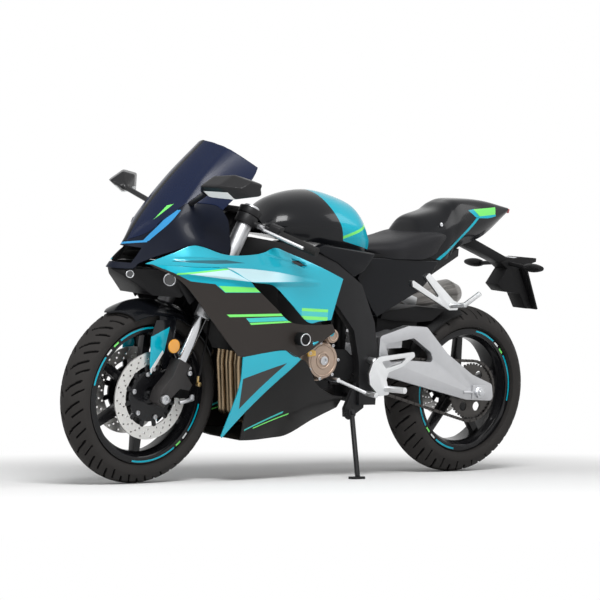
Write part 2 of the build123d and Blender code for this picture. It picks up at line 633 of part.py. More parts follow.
# Arm outline and window as (share of the arm's length, rise)
arm_outline = [
    (0.0635, 130), (0.308, 187), (0.477, 197), (0.683, 118), (0.933, 60), (1.129, 39), (1.152, -21),
    (0.894, -35), (0.16, -7), (0.0635, 3),
]
arm_window = [(0.11, 106), (0.365, 148), (0.529, 110), (0.562, 76), (0.346, 66), (0.167, 46)]
with BuildPart() as left_arm:
    add(side_slab([arm_point(*place) for place in arm_outline], ARM_IN, ARM_OUT, ARM_CORNER))
    add(side_slab([arm_point(*place) for place in arm_window], ARM_IN, ARM_OUT, WINDOW_CORNER), mode=Mode.SUBTRACT)
with BuildPart() as swingarm:
    add(both_sides(left_arm.part))
    brace_outline = [(-218, 464), (-218, 508), (BRACE_BACK + 40, 530), (BRACE_BACK, 528), (BRACE_BACK, 470)]
    add(side_slab(brace_outline, -ARM_IN - 6, ARM_IN + 6))
    add(side_slab([(-160, 372), (-160, 400), (-214, 470), (-260, 470), (-240, 420), (-190, 368)], 40, 76))
    add(side_slab([(-160, 372), (-160, 400), (-214, 470), (-260, 470), (-240, 420), (-190, 368)], -104, -40))
    with BuildSketch(wheel_plane(PIVOT.X, PIVOT.Z).offset(-108.2)):
        Circle(PIVOT_R)
    extrude(amount=216.4)
    with BuildSketch(wheel_plane(AXLE_R, REAR_AXLE_Z).offset(-200)):
        Circle(REAR_AXLE_R + SEAT_GAP / 3)
    extrude(amount=400, mode=Mode.SUBTRACT)

with BuildPart() as rear_axle:
    with BuildSketch(wheel_plane(AXLE_R, REAR_AXLE_Z).offset(-ARM_OUT - 22)):
        Circle(REAR_AXLE_R)
    extrude(amount=2 * (ARM_OUT + 22))
    for side in (1, -1):
        with BuildSketch(wheel_plane(AXLE_R, REAR_AXLE_Z).offset(-side * (ARM_OUT + 8.3) - 8)):
            RegularPolygon(22, 6)
        extrude(amount=16)


def loop_outline(r_rear, r_front):
    """Points of the belt line round two circles: tangent points and arc middles, rear first."""
    gap = Vector(DRIVE.X - AXLE_R, DRIVE.Z - REAR_AXLE_Z)
    along = gap.normalized()
    across = Vector(-along.Y, along.X)
    lean = (r_rear - r_front) / gap.length
    rise = sqrt(1 - lean * lean)
    rear = Vector(AXLE_R, REAR_AXLE_Z)
    front = Vector(DRIVE.X, DRIVE.Z)
    up = along * lean + across * rise
    down = along * lean - across * rise
    return (
        rear + up * r_rear, front + up * r_front, front + along * r_front,
        front + down * r_front, rear + down * r_rear, rear - along * r_rear,
    )


with BuildPart() as chain:
    with BuildSketch(Plane.XZ.offset(-CHAIN_Y - CHAIN_WIDE / 2)):
        for half, mode in ((CHAIN_HALF, Mode.ADD), (-CHAIN_HALF, Mode.SUBTRACT)):
            a, b, c, d, e, f = loop_outline(CHAIN_PITCH_R + half, DRIVE_R + half)
            with BuildLine():
                Line(a, b)
                ThreePointArc(b, c, d)
                Line(d, e)
                ThreePointArc(e, f, a)
            make_face(mode=mode)
    extrude(amount=CHAIN_WIDE)

HUGGER_HALF = REAR_TYRE_HALF + 2
HUGGER_WALL = 5
with BuildPart() as hugger_arch:
    section = Plane((AXLE_R, 0, REAR_AXLE_Z), x_dir=(0, 1, 0), z_dir=(1, 0, 0))
    with BuildSketch(section):
        with BuildLine():
            low_r, top_r = REAR_R - 26, REAR_R + 12
            ThreePointArc((-HUGGER_HALF, low_r), (0, top_r), (HUGGER_HALF, low_r))
            Line((HUGGER_HALF, low_r), (HUGGER_HALF, low_r + HUGGER_WALL))
            ThreePointArc((HUGGER_HALF, low_r + HUGGER_WALL), (0, top_r + HUGGER_WALL), (-HUGGER_HALF, low_r + HUGGER_WALL))
            Line((-HUGGER_HALF, low_r + HUGGER_WALL), (-HUGGER_HALF, low_r))
        make_face()
    revolve(axis=Axis((AXLE_R, 0, REAR_AXLE_Z), (0, 1, 0)), revolution_arc=58)
hugger_turn = hugger_arch.part.rotate(Axis((AXLE_R, 0, REAR_AXLE_Z), (0, 1, 0)), 12)


def off_tyre(angle, clear):
    """Side-view point at an angle above the rear axle's level, clear of the tyre."""
    reach = REAR_R + clear
    return AXLE_R + reach * cos(radians(angle)), REAR_AXLE_Z + reach * sin(radians(angle))


with BuildPart() as rear_hugger:
    add(hugger_turn)
    seat_x = BRACE_BACK - SEAM
    add(side_slab([off_tyre(27.7, 11), (seat_x, 472), (seat_x, 508), off_tyre(37.6, 22)], -60, 60))
    # Splash guard running forward from the arch under the seat
    guard_outline = [
        off_tyre(65.8, 16), off_tyre(48, 99), (-264, 594), (-254, 570), (BRACE_BACK, 562), off_tyre(43, 51), off_tyre(52.3, 10),
    ]
    add(side_slab(guard_outline, 10 - HUGGER_HALF, HUGGER_HALF - 10))

with BuildPart() as shock_absorber:
    add(round_bar((-122, 0, 628), (-126, 0, 420), 28))
    add(round_bar((-126, 0, 425), (-138, 0, 300), 10))
    add(main_frame.part, mode=Mode.SUBTRACT)

# Crash bobbins bolt to the cylinder block and stand out through the fairing
BOBBIN = (224, 507)
BOBBIN_R = 22
with BuildPart() as left_bobbin:
    with BuildSketch(wheel_plane(*BOBBIN).offset(-100 - SEAT_GAP)):
        Circle(9)
    extrude(amount=-150)
    with BuildSketch(wheel_plane(*BOBBIN).offset(-232)):
        Circle(BOBBIN_R)
    extrude(amount=-34)
    chamfer(left_bobbin.faces().sort_by(Axis.Y)[-1].edges(), 5)
    add(engine_block.part, mode=Mode.SUBTRACT)
with BuildPart() as crash_bobbins:
    add(both_sides(left_bobbin.part))

# Fairing skin: one U-shaped shell, cut into panels by their side outlines
skin_rows = [
    (790, [(60, 830), (78, 790), (94, 728), (86, 640), (84, 545), (84, 445), (84, 300), (80, 170)]),
    (640, [(160, 830), (176, 790), (192, 728), (182, 640), (180, 545), (180, 445), (180, 300), (176, 168)]),
    (510, [(178, 830), (194, 790), (210, 728), (206, 640), (207, 545), (210, 445), (204, 300), (196, 166)]),
    (333, [(186, 830), (206, 790), (226, 728), (220, 640), (220, 545), (220, 445), (198, 300), (158, 158)]),
    (205, [(196, 830), (214, 790), (232, 728), (224, 640), (226, 545), (232, 445), (192, 300), (128, 162)]),
    (50, [(204, 830), (218, 790), (230, 728), (228, 640), (228, 545), (226, 445), (170, 300), (124, 224)]),
    (-45, [(206, 830), (218, 790), (228, 728), (226, 640), (226, 545), (224, 445), (156, 306), (124, 262)]),
]


def skin_inner(half):
    """Inner corner for each outer corner of a half section."""
    inner = [(y - SKIN, z) for y, z in half[:-2]]
    return inner + [(half[-2][0] - SKIN, half[-2][1] + 1), (half[-1][0] - 2, half[-1][1] + SKIN)]


with BuildPart() as left_skin:
    for row in range(len(skin_rows[0][1])):
        strip = []
        for x, half in skin_rows:
            outer = half + [(0, half[-1][1] - 6)]
            inside = skin_inner(half) + [(0, half[-1][1] - 6 + SKIN)]
            strip.append((Plane.YZ.offset(x), [outer[row], outer[row + 1], inside[row + 1], inside[row]]))
        add(section_loft(strip))
with BuildPart() as side_skin:
    add(left_skin.part)
    mirror(about=Plane.XZ)

wing_outline = [
    (770, 728), (700, 766), (628, 796), (519, 772), (400, 780), (333, 798), (281, 788), (55, 712), (72, 620), (92, 572),
    (188, 563), (268, 640), (345, 702), (440, 724), (505, 728),
]
mid_outline = [
    (760, 727.4), (505, 727.4), (385, 605), (300, 562), (250, 550), (85, 557), (70, 532), (214, 446), (240, 456),
    (280, 468), (438, 442), (476, 465), (664, 672),
]
blade_top, blade_tip = (210, 438), (486, 173)
lower_outline = [(437.5, 441.4), (280, 467.4), (242, 455.4), (215.5, 445), blade_top, blade_tip, (490, 178), (440, 330)]
BELLY_FRONT = AXLE_F - FRONT_R + 3


def under_blade(x):
    """Point one seam under the lower panel's rear edge."""
    slope = (blade_tip[1] - blade_top[1]) / (blade_tip[0] - blade_top[0])
    return x, blade_top[1] + slope * (x - blade_top[0]) - SEAM / cos(atan(slope))


belly_outline = [
    under_blade(BELLY_FRONT), (BELLY_FRONT, 140), (250, 130), (100, 170), (-42, 230), (-42, 300), (28, 312), (120, 355),
    under_blade(blade_top[0] - 1),
]


def skin_panels(outline):
    """Left and right panels with one side outline."""
    with BuildPart() as panel:
        add(side_skin.part)
        add(side_slab(outline, -300, 300), mode=Mode.INTERSECT)
    return panel


wing_panels = skin_panels(wing_outline)
with BuildPart() as mid_panels:
    add(skin_panels(mid_outline).part)
    with BuildSketch(wheel_plane(*BOBBIN).offset(-300)):
        Circle(BOBBIN_R + 4)
    extrude(amount=600, mode=Mode.SUBTRACT)
lower_panels = skin_panels(lower_outline)
with BuildPart() as belly_pan:
    add(side_skin.part)
    add(side_slab(belly_outline, -300, 300), mode=Mode.INTERSECT)
    add(side_slab([(112, 160), (-60, 190), (-60, 330), (112, 330)], -180, -72), mode=Mode.SUBTRACT)

# Nose: horizontal V sections, from the beak up to the screen's lip
nose_levels = [
    (708, [(846, 0), (812, 48), (700, 142), (560, 190)]),
    (790, [(792, 0), (742, 62), (640, 172), (500, 196)]),
    (880, [(737, 0), (690, 95), (632, 142), (488, 184)]),
    (1014, [(630, 0), (590, 85), (548, 122), (408, 174)]),
    (1142, [(507, 0), (468, 75), (434, 106), (326, 162)]),
]


def nose_section(half):
    """Thin closed V from the left rear edge round the nose to the right rear edge."""
    (cx, _), (mx, my), (sx, sy), (rx, ry) = half
    inner = [(cx - 5, 0), (mx - 4, my - 3), (sx - 3, sy - SKIN), (rx, ry - SKIN)]
    outer_all = list(reversed(half)) + [(x, -y) for x, y in half[1:]]
    inner_all = list(reversed(inner)) + [(x, -y) for x, y in inner[1:]]
    return outer_all + list(reversed(inner_all))


with BuildPart() as nose_skin:
    add(section_loft([(Plane.XY.offset(z), nose_section(half)) for z, half in nose_levels]))
screen_line = [(800, 790), (742, 822), (690, 880), (640, 925), (560, 930), (524, 914)]
with BuildPart() as windscreen:
    add(nose_skin.part)
    screen_outline = [(x, z + SEAM) for x, z in screen_line] + [(426, 1010), (394, 1062), (444, 1096), (510, 1143), (800, 1143)]
    add(side_slab(screen_outline, -300, 300), mode=Mode.INTERSECT)
DUCT_HALF = 56
with BuildPart() as nose_cowl:
    add(nose_skin.part)
    cowl_outline = screen_line + [
        (506, 880), (505, 773), (519, 772.6), (628, 796.6), (700, 766.6), (770, 728.6), (772, 708), (855, 708), (855, 790),
    ]
    add(side_slab(cowl_outline, -300, 300), mode=Mode.INTERSECT)
    add(side_slab([(860, 726), (732, 726), (732, 774), (860, 786)], -DUCT_HALF, DUCT_HALF), mode=Mode.SUBTRACT)

# Headlamp housing under the beak, with a round lamp and a small side lamp recessed in each flank
HOUSE_LOW = AXLE_FZ + FENDER_R + FENDER_WALL + MOVING_GAP
house_plan = [(844, 0), (812, 42), (712, 112), (664, 158), (622, 164)]
LAMP_DEEP = 9
# Lamps as (first and second corner of their flank in house_plan, share along it, height, radius)
lamps = [(2, 3, 0.47, 681, 22), (1, 2, 0.2, 690, 14)]


def lamp_plane(first, second, share, z):
    """Plane on a flank of the housing, looking out of it."""
    start, end = Vector(*house_plan[first]), Vector(*house_plan[second])
    place = start + (end - start) * share
    return Plane((place.X, place.Y, z), x_dir=(0, 0, 1), z_dir=(end.Y - start.Y, start.X - end.X, 0))


with BuildPart() as lamp_holes:
    for first, second, share, z, radius in lamps:
        with BuildSketch(lamp_plane(first, second, share, z).offset(-LAMP_DEEP)):
            Circle(radius + SEAT_GAP)
        extrude(amount=2 * LAMP_DEEP)
with BuildPart() as headlamp_housing:
    add(side_slab([(842, 707.4), (832, 699), (727, HOUSE_LOW), (660, HOUSE_LOW), (622, 660), (622, 707.4)], -170, 170))
    add(plan_slab(house_plan + [(x, -y) for x, y in reversed(house_plan) if y > 0], 500, 760), mode=Mode.INTERSECT)
    add(both_sides(lamp_holes.part), mode=Mode.SUBTRACT)
with BuildPart() as left_lamps:
    for first, second, share, z, radius in lamps:
        with BuildSketch(lamp_plane(first, second, share, z).offset(SEAT_GAP - LAMP_DEEP)):
            Circle(radius)
        extrude(amount=LAMP_DEEP - 2)
with BuildPart() as headlamps:
    add(both_sides(left_lamps.part))

with BuildPart() as fairing_stay:
    add(side_slab([(400, 772), (630, 706), (660, 712), (640, 760), (520, 820), (500, 935), (478, 935), (486, 820), (400, 806)], -22, 22))
    add(main_frame.part, mode=Mode.SUBTRACT)
    with BuildSketch(fork_plane(HEAD_LOW)):
        Circle(HEAD_R)
    extrude(amount=HEAD_HIGH - HEAD_LOW, mode=Mode.SUBTRACT)
    add(headlamp_housing.part, mode=Mode.SUBTRACT)
with BuildPart() as dash:
    add(side_slab([(474, 935.5), (536, 935.5), (548, 950), (500, 1004), (486, 1000)], -72, 72))

# Mirror heads: five-sided sections from the stem outwards, as (y, front x, rear x, top z, bottom z)
mirror_rows = [
    (238, 668, 640, 980, 958), (272, 692, 592, 1022, 952), (330, 662, 548, 1030, 950), (386, 612, 532, 1012, 962),
]


def mirror_section(front, rear, top, bottom):
    """Nose, crown, two corners of the glass and the keel, as (x, z)."""
    middle = (front + rear) / 2
    lip = (top - bottom) * 0.12
    return [(front, (top + bottom) / 2), (middle, top), (rear, top - lip), (rear, bottom + lip), (middle, bottom)]


with BuildPart() as left_mirror:
    rows = [(Plane((0, y, 0), x_dir=(1, 0, 0), z_dir=(0, -1, 0)), mirror_section(*sizes)) for y, *sizes in mirror_rows]
    add(section_loft(rows))
    add(round_bar((622, 118, 926), (648, 262, 974), 10))
    add(nose_skin.part, mode=Mode.SUBTRACT)
with BuildPart() as mirrors:
    left_mirror_outer = left_mirror.part.solids().sort_by(Axis.Y)[-1]
    add(both_sides(Part() + left_mirror_outer))

# Footrests and foot levers
REST_IN = 172
REST_WALL = 8
hanger_outline = [
    (-131, 383), (-146, 424), (-172, 443), (-331, 462), (-336, 446), (-286, 411), (-220, 389), (-212, 363), (-230, 311),
    (-186, 305), (-139, 346),
]
hanger_window = [(-184, 427), (-302, 443), (-277, 422), (-206, 402)]
with BuildPart() as left_rest:
    add(side_slab(hanger_outline, REST_IN, REST_IN + REST_WALL, 7))
    add(side_slab(hanger_window, REST_IN, REST_IN + REST_WALL, 4), mode=Mode.SUBTRACT)
    for x, z in ((-160, 428), (-178, 360)):
        with BuildSketch(wheel_plane(x, z).offset(-REST_IN)):
            Circle(11)
        extrude(amount=40)
    add(round_bar((-212, REST_IN + 4, 331), (-228, 264, 335), 11))
    add(main_frame.part, mode=Mode.SUBTRACT)
with BuildPart() as rider_rests:
    left_rest_outer = left_rest.part.solids().sort_by(Axis.Y)[-1]
    add(both_sides(Part() + left_rest_outer))

pillion_outline = [
    (-345, 716), (-352, 690), (-534, 610), (-574, 612), (-578, 638), (-552, 646), (-425, 742), (-408, 726), (-500, 642),
]
left_plate = side_slab(pillion_outline, BOX_HALF + SEAT_GAP, PLATE_OUT, 5)
with BuildPart() as left_pillion:
    add(left_plate)
    add(round_bar((-540, PLATE_OUT - 5, 626), (-548, 190, 636), 9))
    add(round_bar((-548, 186, 636), (-572, 236, 682), 9))
with BuildPart() as pillion_rests:
    add(left_pillion.part)
    add(mirror(left_plate, about=Plane.XZ, mode=Mode.PRIVATE))
    add(round_bar((-534, 5 - PLATE_OUT, 624), (-534, -PLATE_OUT - 13, 626), 9))
    add(round_bar((-534, -PLATE_OUT - 12, 622), (-556, -PLATE_OUT - 13, 700), 8))

# Gear lever on its shaft out of the engine, brake pedal on the right rest
with BuildPart() as foot_levers:
    add(round_bar((6, ENGINE_HALF + SEAT_GAP, 362), (6, 184, 362), 8))
    add(round_bar((6, 178, 362), (-122, 186, 316), 6))
    add(round_bar((-122, 180, 316), (-120, 240, 316), 9))
    with BuildSketch(wheel_plane(-190, 352).offset(REST_IN + REST_WALL + SEAT_GAP)):
        Circle(9)
    extrude(amount=12)
    add(round_bar((-190, -190, 352), (-104, -196, 318), 6))
    add(round_bar((-104, -190, 318), (-98, -246, 318), 8))

# Side stand and its bracket
STAND_PIVOT = Vector(-91, 140, 238)
foot_y = 250
foot_z = GROUND_Z + (foot_y * sin(radians(LEAN)) - GROUND_DROP) / cos(radians(LEAN))
STAND_FOOT = Vector(-53, foot_y, foot_z)
leg = (STAND_FOOT - STAND_PIVOT).normalized()
STAND_DIR = (Vector(0, 1, 0) - leg * leg.Y).normalized()
ground_up = Vector(0, -sin(radians(LEAN)), cos(radians(LEAN)))
stand_plane = Plane(STAND_PIVOT, x_dir=leg, z_dir=STAND_DIR)
with BuildPart() as stand_bracket:
    add(side_slab([(-118.7, 347), (-126.4, 269.4), (-160, 269.4), (-160, 258), (-108, 226), (-80, 226), (-76, 256), (-100, 310)], 112, 128))
    with BuildSketch(stand_plane.offset(-14)):
        Circle(16)
    extrude(amount=14 - SEAT_GAP)
    with BuildSketch(stand_plane.offset(-14)):
        Circle(6)
    extrude(amount=34)
    with BuildSketch(stand_plane.offset(14 + SEAT_GAP)):
        Circle(9.4)
    extrude(amount=6)
with BuildPart() as side_stand:
    add(round_bar(STAND_PIVOT + STAND_DIR * 9.6 + leg * 10, STAND_FOOT + ground_up * 5 + STAND_DIR * 4, 9))
    with BuildSketch(stand_plane):
        Circle(15)
    extrude(amount=14)
    with BuildSketch(Plane(STAND_FOOT, x_dir=(1, 0, 0), z_dir=ground_up)):
        RectangleRounded(56, 38, 12)
    extrude(amount=8)
    with BuildSketch(stand_plane):
        Circle(6 + RUNNING)
    extrude(amount=14, mode=Mode.SUBTRACT)
    with BuildSketch(Plane(STAND_FOOT, x_dir=(1, 0, 0), z_dir=ground_up)):
        Rectangle(300, 300)
    extrude(amount=-60, mode=Mode.SUBTRACT)

# Calipers hang on the fork feet and straddle the discs
CALIPER_OUT = FORK_Y - FOOT_HALF + 0.8
with BuildPart() as left_caliper:
    caliper_plane = wheel_plane(*fork_point(73, -38)).offset(-CALIPER_OUT).rotated((0, 0, 12))
    with BuildSketch(caliper_plane):
        RectangleRounded(56, 116, 14)
    extrude(amount=44)
    with BuildSketch(wheel_plane(AXLE_F, AXLE_FZ).offset(-FRONT_DISC_Y - DISC_THICK / 2 - 3)):
        Circle(FRONT_DISC_R + 6)
    extrude(amount=DISC_THICK + 6, mode=Mode.SUBTRACT)
    with BuildSketch(wheel_plane(AXLE_F, AXLE_FZ).offset(-FRONT_DISC_Y + 5)):
        Circle(240)
    extrude(amount=60, mode=Mode.SUBTRACT)
with BuildPart() as front_calipers:
    add(both_sides(left_caliper.part))
    add(fork_feet.part, mode=Mode.SUBTRACT)

pieces = {
    "front_rim": front_rim.part, "front_tyre": front_tyre.part, "front_discs": front_discs.part,
    "rear_rim": rear_rim.part, "rear_tyre": rear_tyre.part, "rear_disc": rear_disc.part,
    "rear_sprocket": rear_sprocket.part, "fork_outer_tubes": fork_outer_tubes.part,
    "fork_stanchions": fork_stanchions.part, "fork_feet": fork_feet.part, "front_axle": front_axle.part,
    "triple_clamps": triple_clamps.part, "clip_ons": clip_ons.part, "grips": grips.part, "levers": levers.part,
    "front_fender": front_fender.part, "front_calipers": front_calipers.part,
    "main_frame": main_frame.part, "seat_subframe": seat_subframe.part, "engine_block": engine_block.part,
    "generator_cover": generator_cover.part, "clutch_cover": clutch_cover.part,
    "drive_sprocket_cover": drive_sprocket_cover.part, "radiator": radiator.part,
    "exhaust_headers": exhaust_headers.part, "muffler": muffler.part, "fuel_tank": fuel_tank.part,
    "tank_side_covers": tank_side_covers.part, "rider_seat": rider_seat.part, "tail_cowl": tail_cowl.part,
    "tail_lamp": tail_lamp.part, "underseat_box": underseat_box.part, "plate_hanger": plate_hanger.part,
    "rear_indicators": rear_indicators.part, "swingarm": swingarm.part, "rear_axle": rear_axle.part,
    "chain": chain.part, "rear_hugger": rear_hugger.part, "shock_absorber": shock_absorber.part,
    "wing_panels": wing_panels.part, "mid_panels": mid_panels.part, "lower_panels": lower_panels.part,
    "belly_pan": belly_pan.part, "nose_cowl": nose_cowl.part, "windscreen": windscreen.part,
    "headlamp_housing": headlamp_housing.part, "headlamps": headlamps.part, "fairing_stay": fairing_stay.part,
    "dash": dash.part, "mirrors": mirrors.part, "rider_rests": rider_rests.part,
    "pillion_rests": pillion_rests.part, "foot_levers": foot_levers.part, "stand_bracket": stand_bracket.part,
    "side_stand": side_stand.part, "crash_bobbins": crash_bobbins.part,
}
steered = (
    "front_rim", "front_tyre", "front_discs", "fork_outer_tubes", "fork_stanchions", "fork_feet", "front_axle",
    "triple_clamps", "clip_ons", "grips", "levers", "front_fender", "front_calipers",
)

placed = {}
for name, piece in pieces.items():
    turned = piece.rotate(STEER_AXIS, STEER_REST) if name in steered else piece
    placed[name] = turned.rotate(Axis.X, -LEAN)

boxes = [piece.bounding_box() for piece in placed.values()]
low = Vector(min(b.min.X for b in boxes), min(b.min.Y for b in boxes), min(b.min.Z for b in boxes))
high = Vector(max(b.max.X for b in boxes), max(b.max.Y for b in boxes), max(b.max.Z for b in boxes))
SHIFT = Vector(-(low.X + high.X) / 2, -(low.Y + high.Y) / 2, -low.Z)
print("size", high - low)
print("shift", SHIFT)
for name, piece in placed.items():
    body = piece.moved(Location(SHIFT))
    body.label = name
    export_step(body, f"parts/{name}.step")
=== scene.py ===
import json
import math

import bpy
from mathutils import Matrix, Vector


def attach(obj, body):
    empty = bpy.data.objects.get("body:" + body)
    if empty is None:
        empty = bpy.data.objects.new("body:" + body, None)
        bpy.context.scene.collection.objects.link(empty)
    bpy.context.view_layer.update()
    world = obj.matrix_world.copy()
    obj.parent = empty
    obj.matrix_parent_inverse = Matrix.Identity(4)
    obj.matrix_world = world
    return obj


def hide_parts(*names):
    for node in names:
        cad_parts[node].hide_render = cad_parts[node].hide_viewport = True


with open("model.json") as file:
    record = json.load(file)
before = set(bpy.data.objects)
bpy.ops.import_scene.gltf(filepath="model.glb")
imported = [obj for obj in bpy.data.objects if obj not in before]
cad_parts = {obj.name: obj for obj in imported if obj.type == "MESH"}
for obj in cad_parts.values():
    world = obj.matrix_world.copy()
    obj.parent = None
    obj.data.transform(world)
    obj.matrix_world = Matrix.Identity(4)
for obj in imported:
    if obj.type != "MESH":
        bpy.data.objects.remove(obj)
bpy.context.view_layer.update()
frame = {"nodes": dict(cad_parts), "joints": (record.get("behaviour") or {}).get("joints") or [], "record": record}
joints = {j["name"]: j for j in frame["joints"]}
nodes = frame["nodes"]

# The bike is drawn upright in millimetres, +X ahead of mid wheelbase, +Y to its left, then leaned onto the stand
bike = {"wheelbase": 1390, "frontRadius": 300, "rearRadius": 312, "rearAxleHeight": 312.16, "steerRest": 6.0,
        "rake": 25.0, "trail": 85}
rearSpin = joints["rear_wheel_spin"]
leanTurn = Matrix.Rotation(math.atan2(rearSpin["axis"][2], rearSpin["axis"][1]), 4, "X")
rearAxle = Vector((-bike["wheelbase"] / 2, 0, bike["rearAxleHeight"]))
frontAxle = Vector((bike["wheelbase"] / 2, 0, bike["frontRadius"]))
ground = Vector(rearSpin["pos_m"]) - leanTurn @ (rearAxle * 0.001)
toWorld = Matrix.Translation(ground) @ leanTurn @ Matrix.Scale(0.001, 4)
rake = math.radians(bike["rake"])
forkUp = Vector((-math.sin(rake), 0, math.cos(rake)))
steerFoot = Vector((bike["wheelbase"] / 2 + bike["trail"], 0, 0))
toSteered = (toWorld @ Matrix.Translation(steerFoot) @ Matrix.Rotation(math.radians(bike["steerRest"]), 4, forkUp)
             @ Matrix.Translation(-steerFoot))
print("stance from the frame's joints, ground at", [round(v, 4) for v in ground])


# Shader maths as plain expressions
class Sock:
    def __init__(self, shader, socket):
        self.shader = shader
        self.socket = socket

    def math(self, kind, other=None):
        return self.shader.node("ShaderNodeMath", {"operation": kind}, {0: self, 1: other})

    def __add__(self, other):
        return self.math("ADD", other)

    def __sub__(self, other):
        return self.math("SUBTRACT", other)

    def __mul__(self, other):
        return self.math("MULTIPLY", other)

    def __truediv__(self, other):
        return self.math("DIVIDE", other)

    def __gt__(self, other):
        return self.math("GREATER_THAN", other)

    def __lt__(self, other):
        return self.math("LESS_THAN", other)

    def either(self, other):
        return self.math("MAXIMUM", other)

    def between(self, low, high):
        return (self > low) * (self < high)

    def outside(self):
        return self.math("SUBTRACT", 1).math("ABSOLUTE")

    def fade(self, low, high):
        return self.shader.node("ShaderNodeMapRange", {"interpolation_type": "SMOOTHSTEP"},
                                {0: self, 1: low, 2: high, 3: 0.0, 4: 1.0})


class Shader:
    def __init__(self, name):
        self.material = bpy.data.materials.new(name)
        self.material.use_nodes = True
        self.tree = self.material.node_tree
        self.surface = self.tree.nodes["Principled BSDF"]

    def node(self, kind, settings=None, values=None, out=0):
        made = self.tree.nodes.new(kind)
        for key, value in (settings or {}).items():
            setattr(made, key, value)
        for key, value in (values or {}).items():
            if isinstance(value, Sock):
                self.tree.links.new(value.socket, made.inputs[key])
            elif value is not None:
                made.inputs[key].default_value = value
        return Sock(self, made.outputs[out])

    def set(self, **values):
        for key, value in values.items():
            socket = self.surface.inputs[key.replace("_", " ")]
            if isinstance(value, Sock):
                self.tree.links.new(value.socket, socket)
            else:
                socket.default_value = value
        return self

    # object coordinates turned back into the upright bike, in millimetres
    def place(self, steered=False):
        back = (toSteered if steered else toWorld).inverted()
        spot = self.node("ShaderNodeTexCoord", out=3)
        values = {0: spot, "Location": back.translation, "Rotation": back.to_euler(), "Scale": (1000, 1000, 1000)}
        return self.node("ShaderNodeMapping", {"vector_type": "POINT"}, values)

    def axes(self, spot):
        return [self.node("ShaderNodeSeparateXYZ", {}, {0: spot}, out=i) for i in range(3)]

    def noise(self, spot, scale, detail=4.0):
        return self.node("ShaderNodeTexNoise", {}, {"Vector": spot, "Scale": scale, "Detail": detail})

    def mix(self, mask, first, second):
        return self.node("ShaderNodeMix", {"data_type": "RGBA"}, {0: mask, 6: first, 7: second}, out=2)

    def bump(self, height, strength, distance):
        return self.node("ShaderNodeBump", {}, {"Height": height, "Strength": strength, "Distance": distance})

    # inside a convex outline of (x, z) corners
    def inside(self, x, z, corners):
        turn = sum(a[0] * b[1] - b[0] * a[1] for a, b in zip(corners, corners[1:] + corners[:1]))
        ring = corners if turn > 0 else corners[::-1]
        mask = None
        for a, b in zip(ring, ring[1:] + ring[:1]):
            side = ((z - a[1]) * (b[0] - a[0]) - (x - a[0]) * (b[1] - a[1])) > 0.0
            mask = side if mask is None else mask * side
        return mask

    # above the straight line from one (x, z) point to another
    def above(self, x, z, start, end):
        slope = (end[1] - start[1]) / (end[0] - start[0])
        return (z - (x - start[0]) * slope) > start[1]


def shade(colour, factor):
    return tuple(min(1.0, c * factor) for c in colour[:3]) + (1,)


colours = {
    "cyan": (0.0, 0.38, 0.5, 1), "azure": (0.04, 0.26, 0.54, 1), "lime": (0.19, 0.78, 0.16, 1),
    "black": (0.004, 0.0045, 0.006, 1), "slate": (0.022, 0.018, 0.016, 1), "white": (0.72, 0.74, 0.74, 1),
    # the pale tint is painted as the highlight along the flank's crease
    "pale": (0.5, 0.71, 0.76, 1), "teal": (0.055, 0.52, 0.5, 1), "navy": (0.004, 0.006, 0.014, 1),
}


# Noise scales per millimetre, and the shade of soot
grains = {"flake": 0.9, "paintCloud": 0.006, "metalCloud": 0.014, "castCloud": 0.009, "haze": 0.02}
sootShade = (0.006, 0.006, 0.006, 1)


# Lacquer: fine flake in the colour, a clear coat over it; `layers` paint stripes by place on the bike
def paint(name, colour, metal, rough, flake, coat=1.0, layers=None, steered=False, sheen=0.5):
    shader = Shader(name)
    spot = shader.place(steered)
    fine = shader.noise(spot, grains["flake"], 2.0)
    cloud = shader.noise(spot, grains["paintCloud"], 3.0)
    tone = shader.mix(fine * 0.7 + cloud * 0.3, shade(colour, 1 - flake), shade(colour, 1 + flake))
    if layers:
        x, y, z = shader.axes(spot)
        for mask, tint in layers(shader, x, y, z):
            tone = shader.mix(mask, tone, tint)
    return shader.set(Base_Color=tone, Metallic=metal, Roughness=cloud * 0.06 + (rough - 0.03), Coat_Weight=coat,
                      Coat_Roughness=0.05, Specular_IOR_Level=sheen)


# Brushed metal: the grain runs along one axis, worn in clouds; soot blackens it between two heights
def metalFinish(name, colour, rough, grain, wear, strength=0.1, soot=None):
    shader = Shader(name)
    spot = shader.place()
    stretched = shader.node("ShaderNodeMapping", {"vector_type": "POINT"}, {0: spot, "Scale": grain})
    brushed = shader.noise(stretched, 1.0, 3.0)
    cloud = shader.noise(spot, grains["metalCloud"])
    tone = shader.mix(brushed * 0.6 + cloud * 0.4, shade(colour, 1 - wear), shade(colour, 1 + wear))
    if soot:
        tone = shader.mix(shader.axes(spot)[2].fade(*soot), tone, sootShade)
    return shader.set(Base_Color=tone, Metallic=1.0, Roughness=brushed * 0.14 + cloud * 0.1 + (rough - 0.12),
                      Normal=shader.bump(brushed, strength, 0.0004))


# Cast, moulded or rubber surface: fine grain in the height, clouds in the colour
def grainFinish(name, colour, rough, scale, strength, metal=0.0, sheen=0.5):
    shader = Shader(name)
    spot = shader.place()
    grain = shader.noise(spot, scale, 3.0)
    cloud = shader.noise(spot, grains["castCloud"])
    tone = shader.mix(cloud, shade(colour, 0.78), shade(colour, 1.25))
    return shader.set(Base_Color=tone, Metallic=metal, Roughness=grain * 0.12 + cloud * 0.08 + (rough - 0.1),
                      Normal=shader.bump(grain, strength, 0.0005), Specular_IOR_Level=sheen)
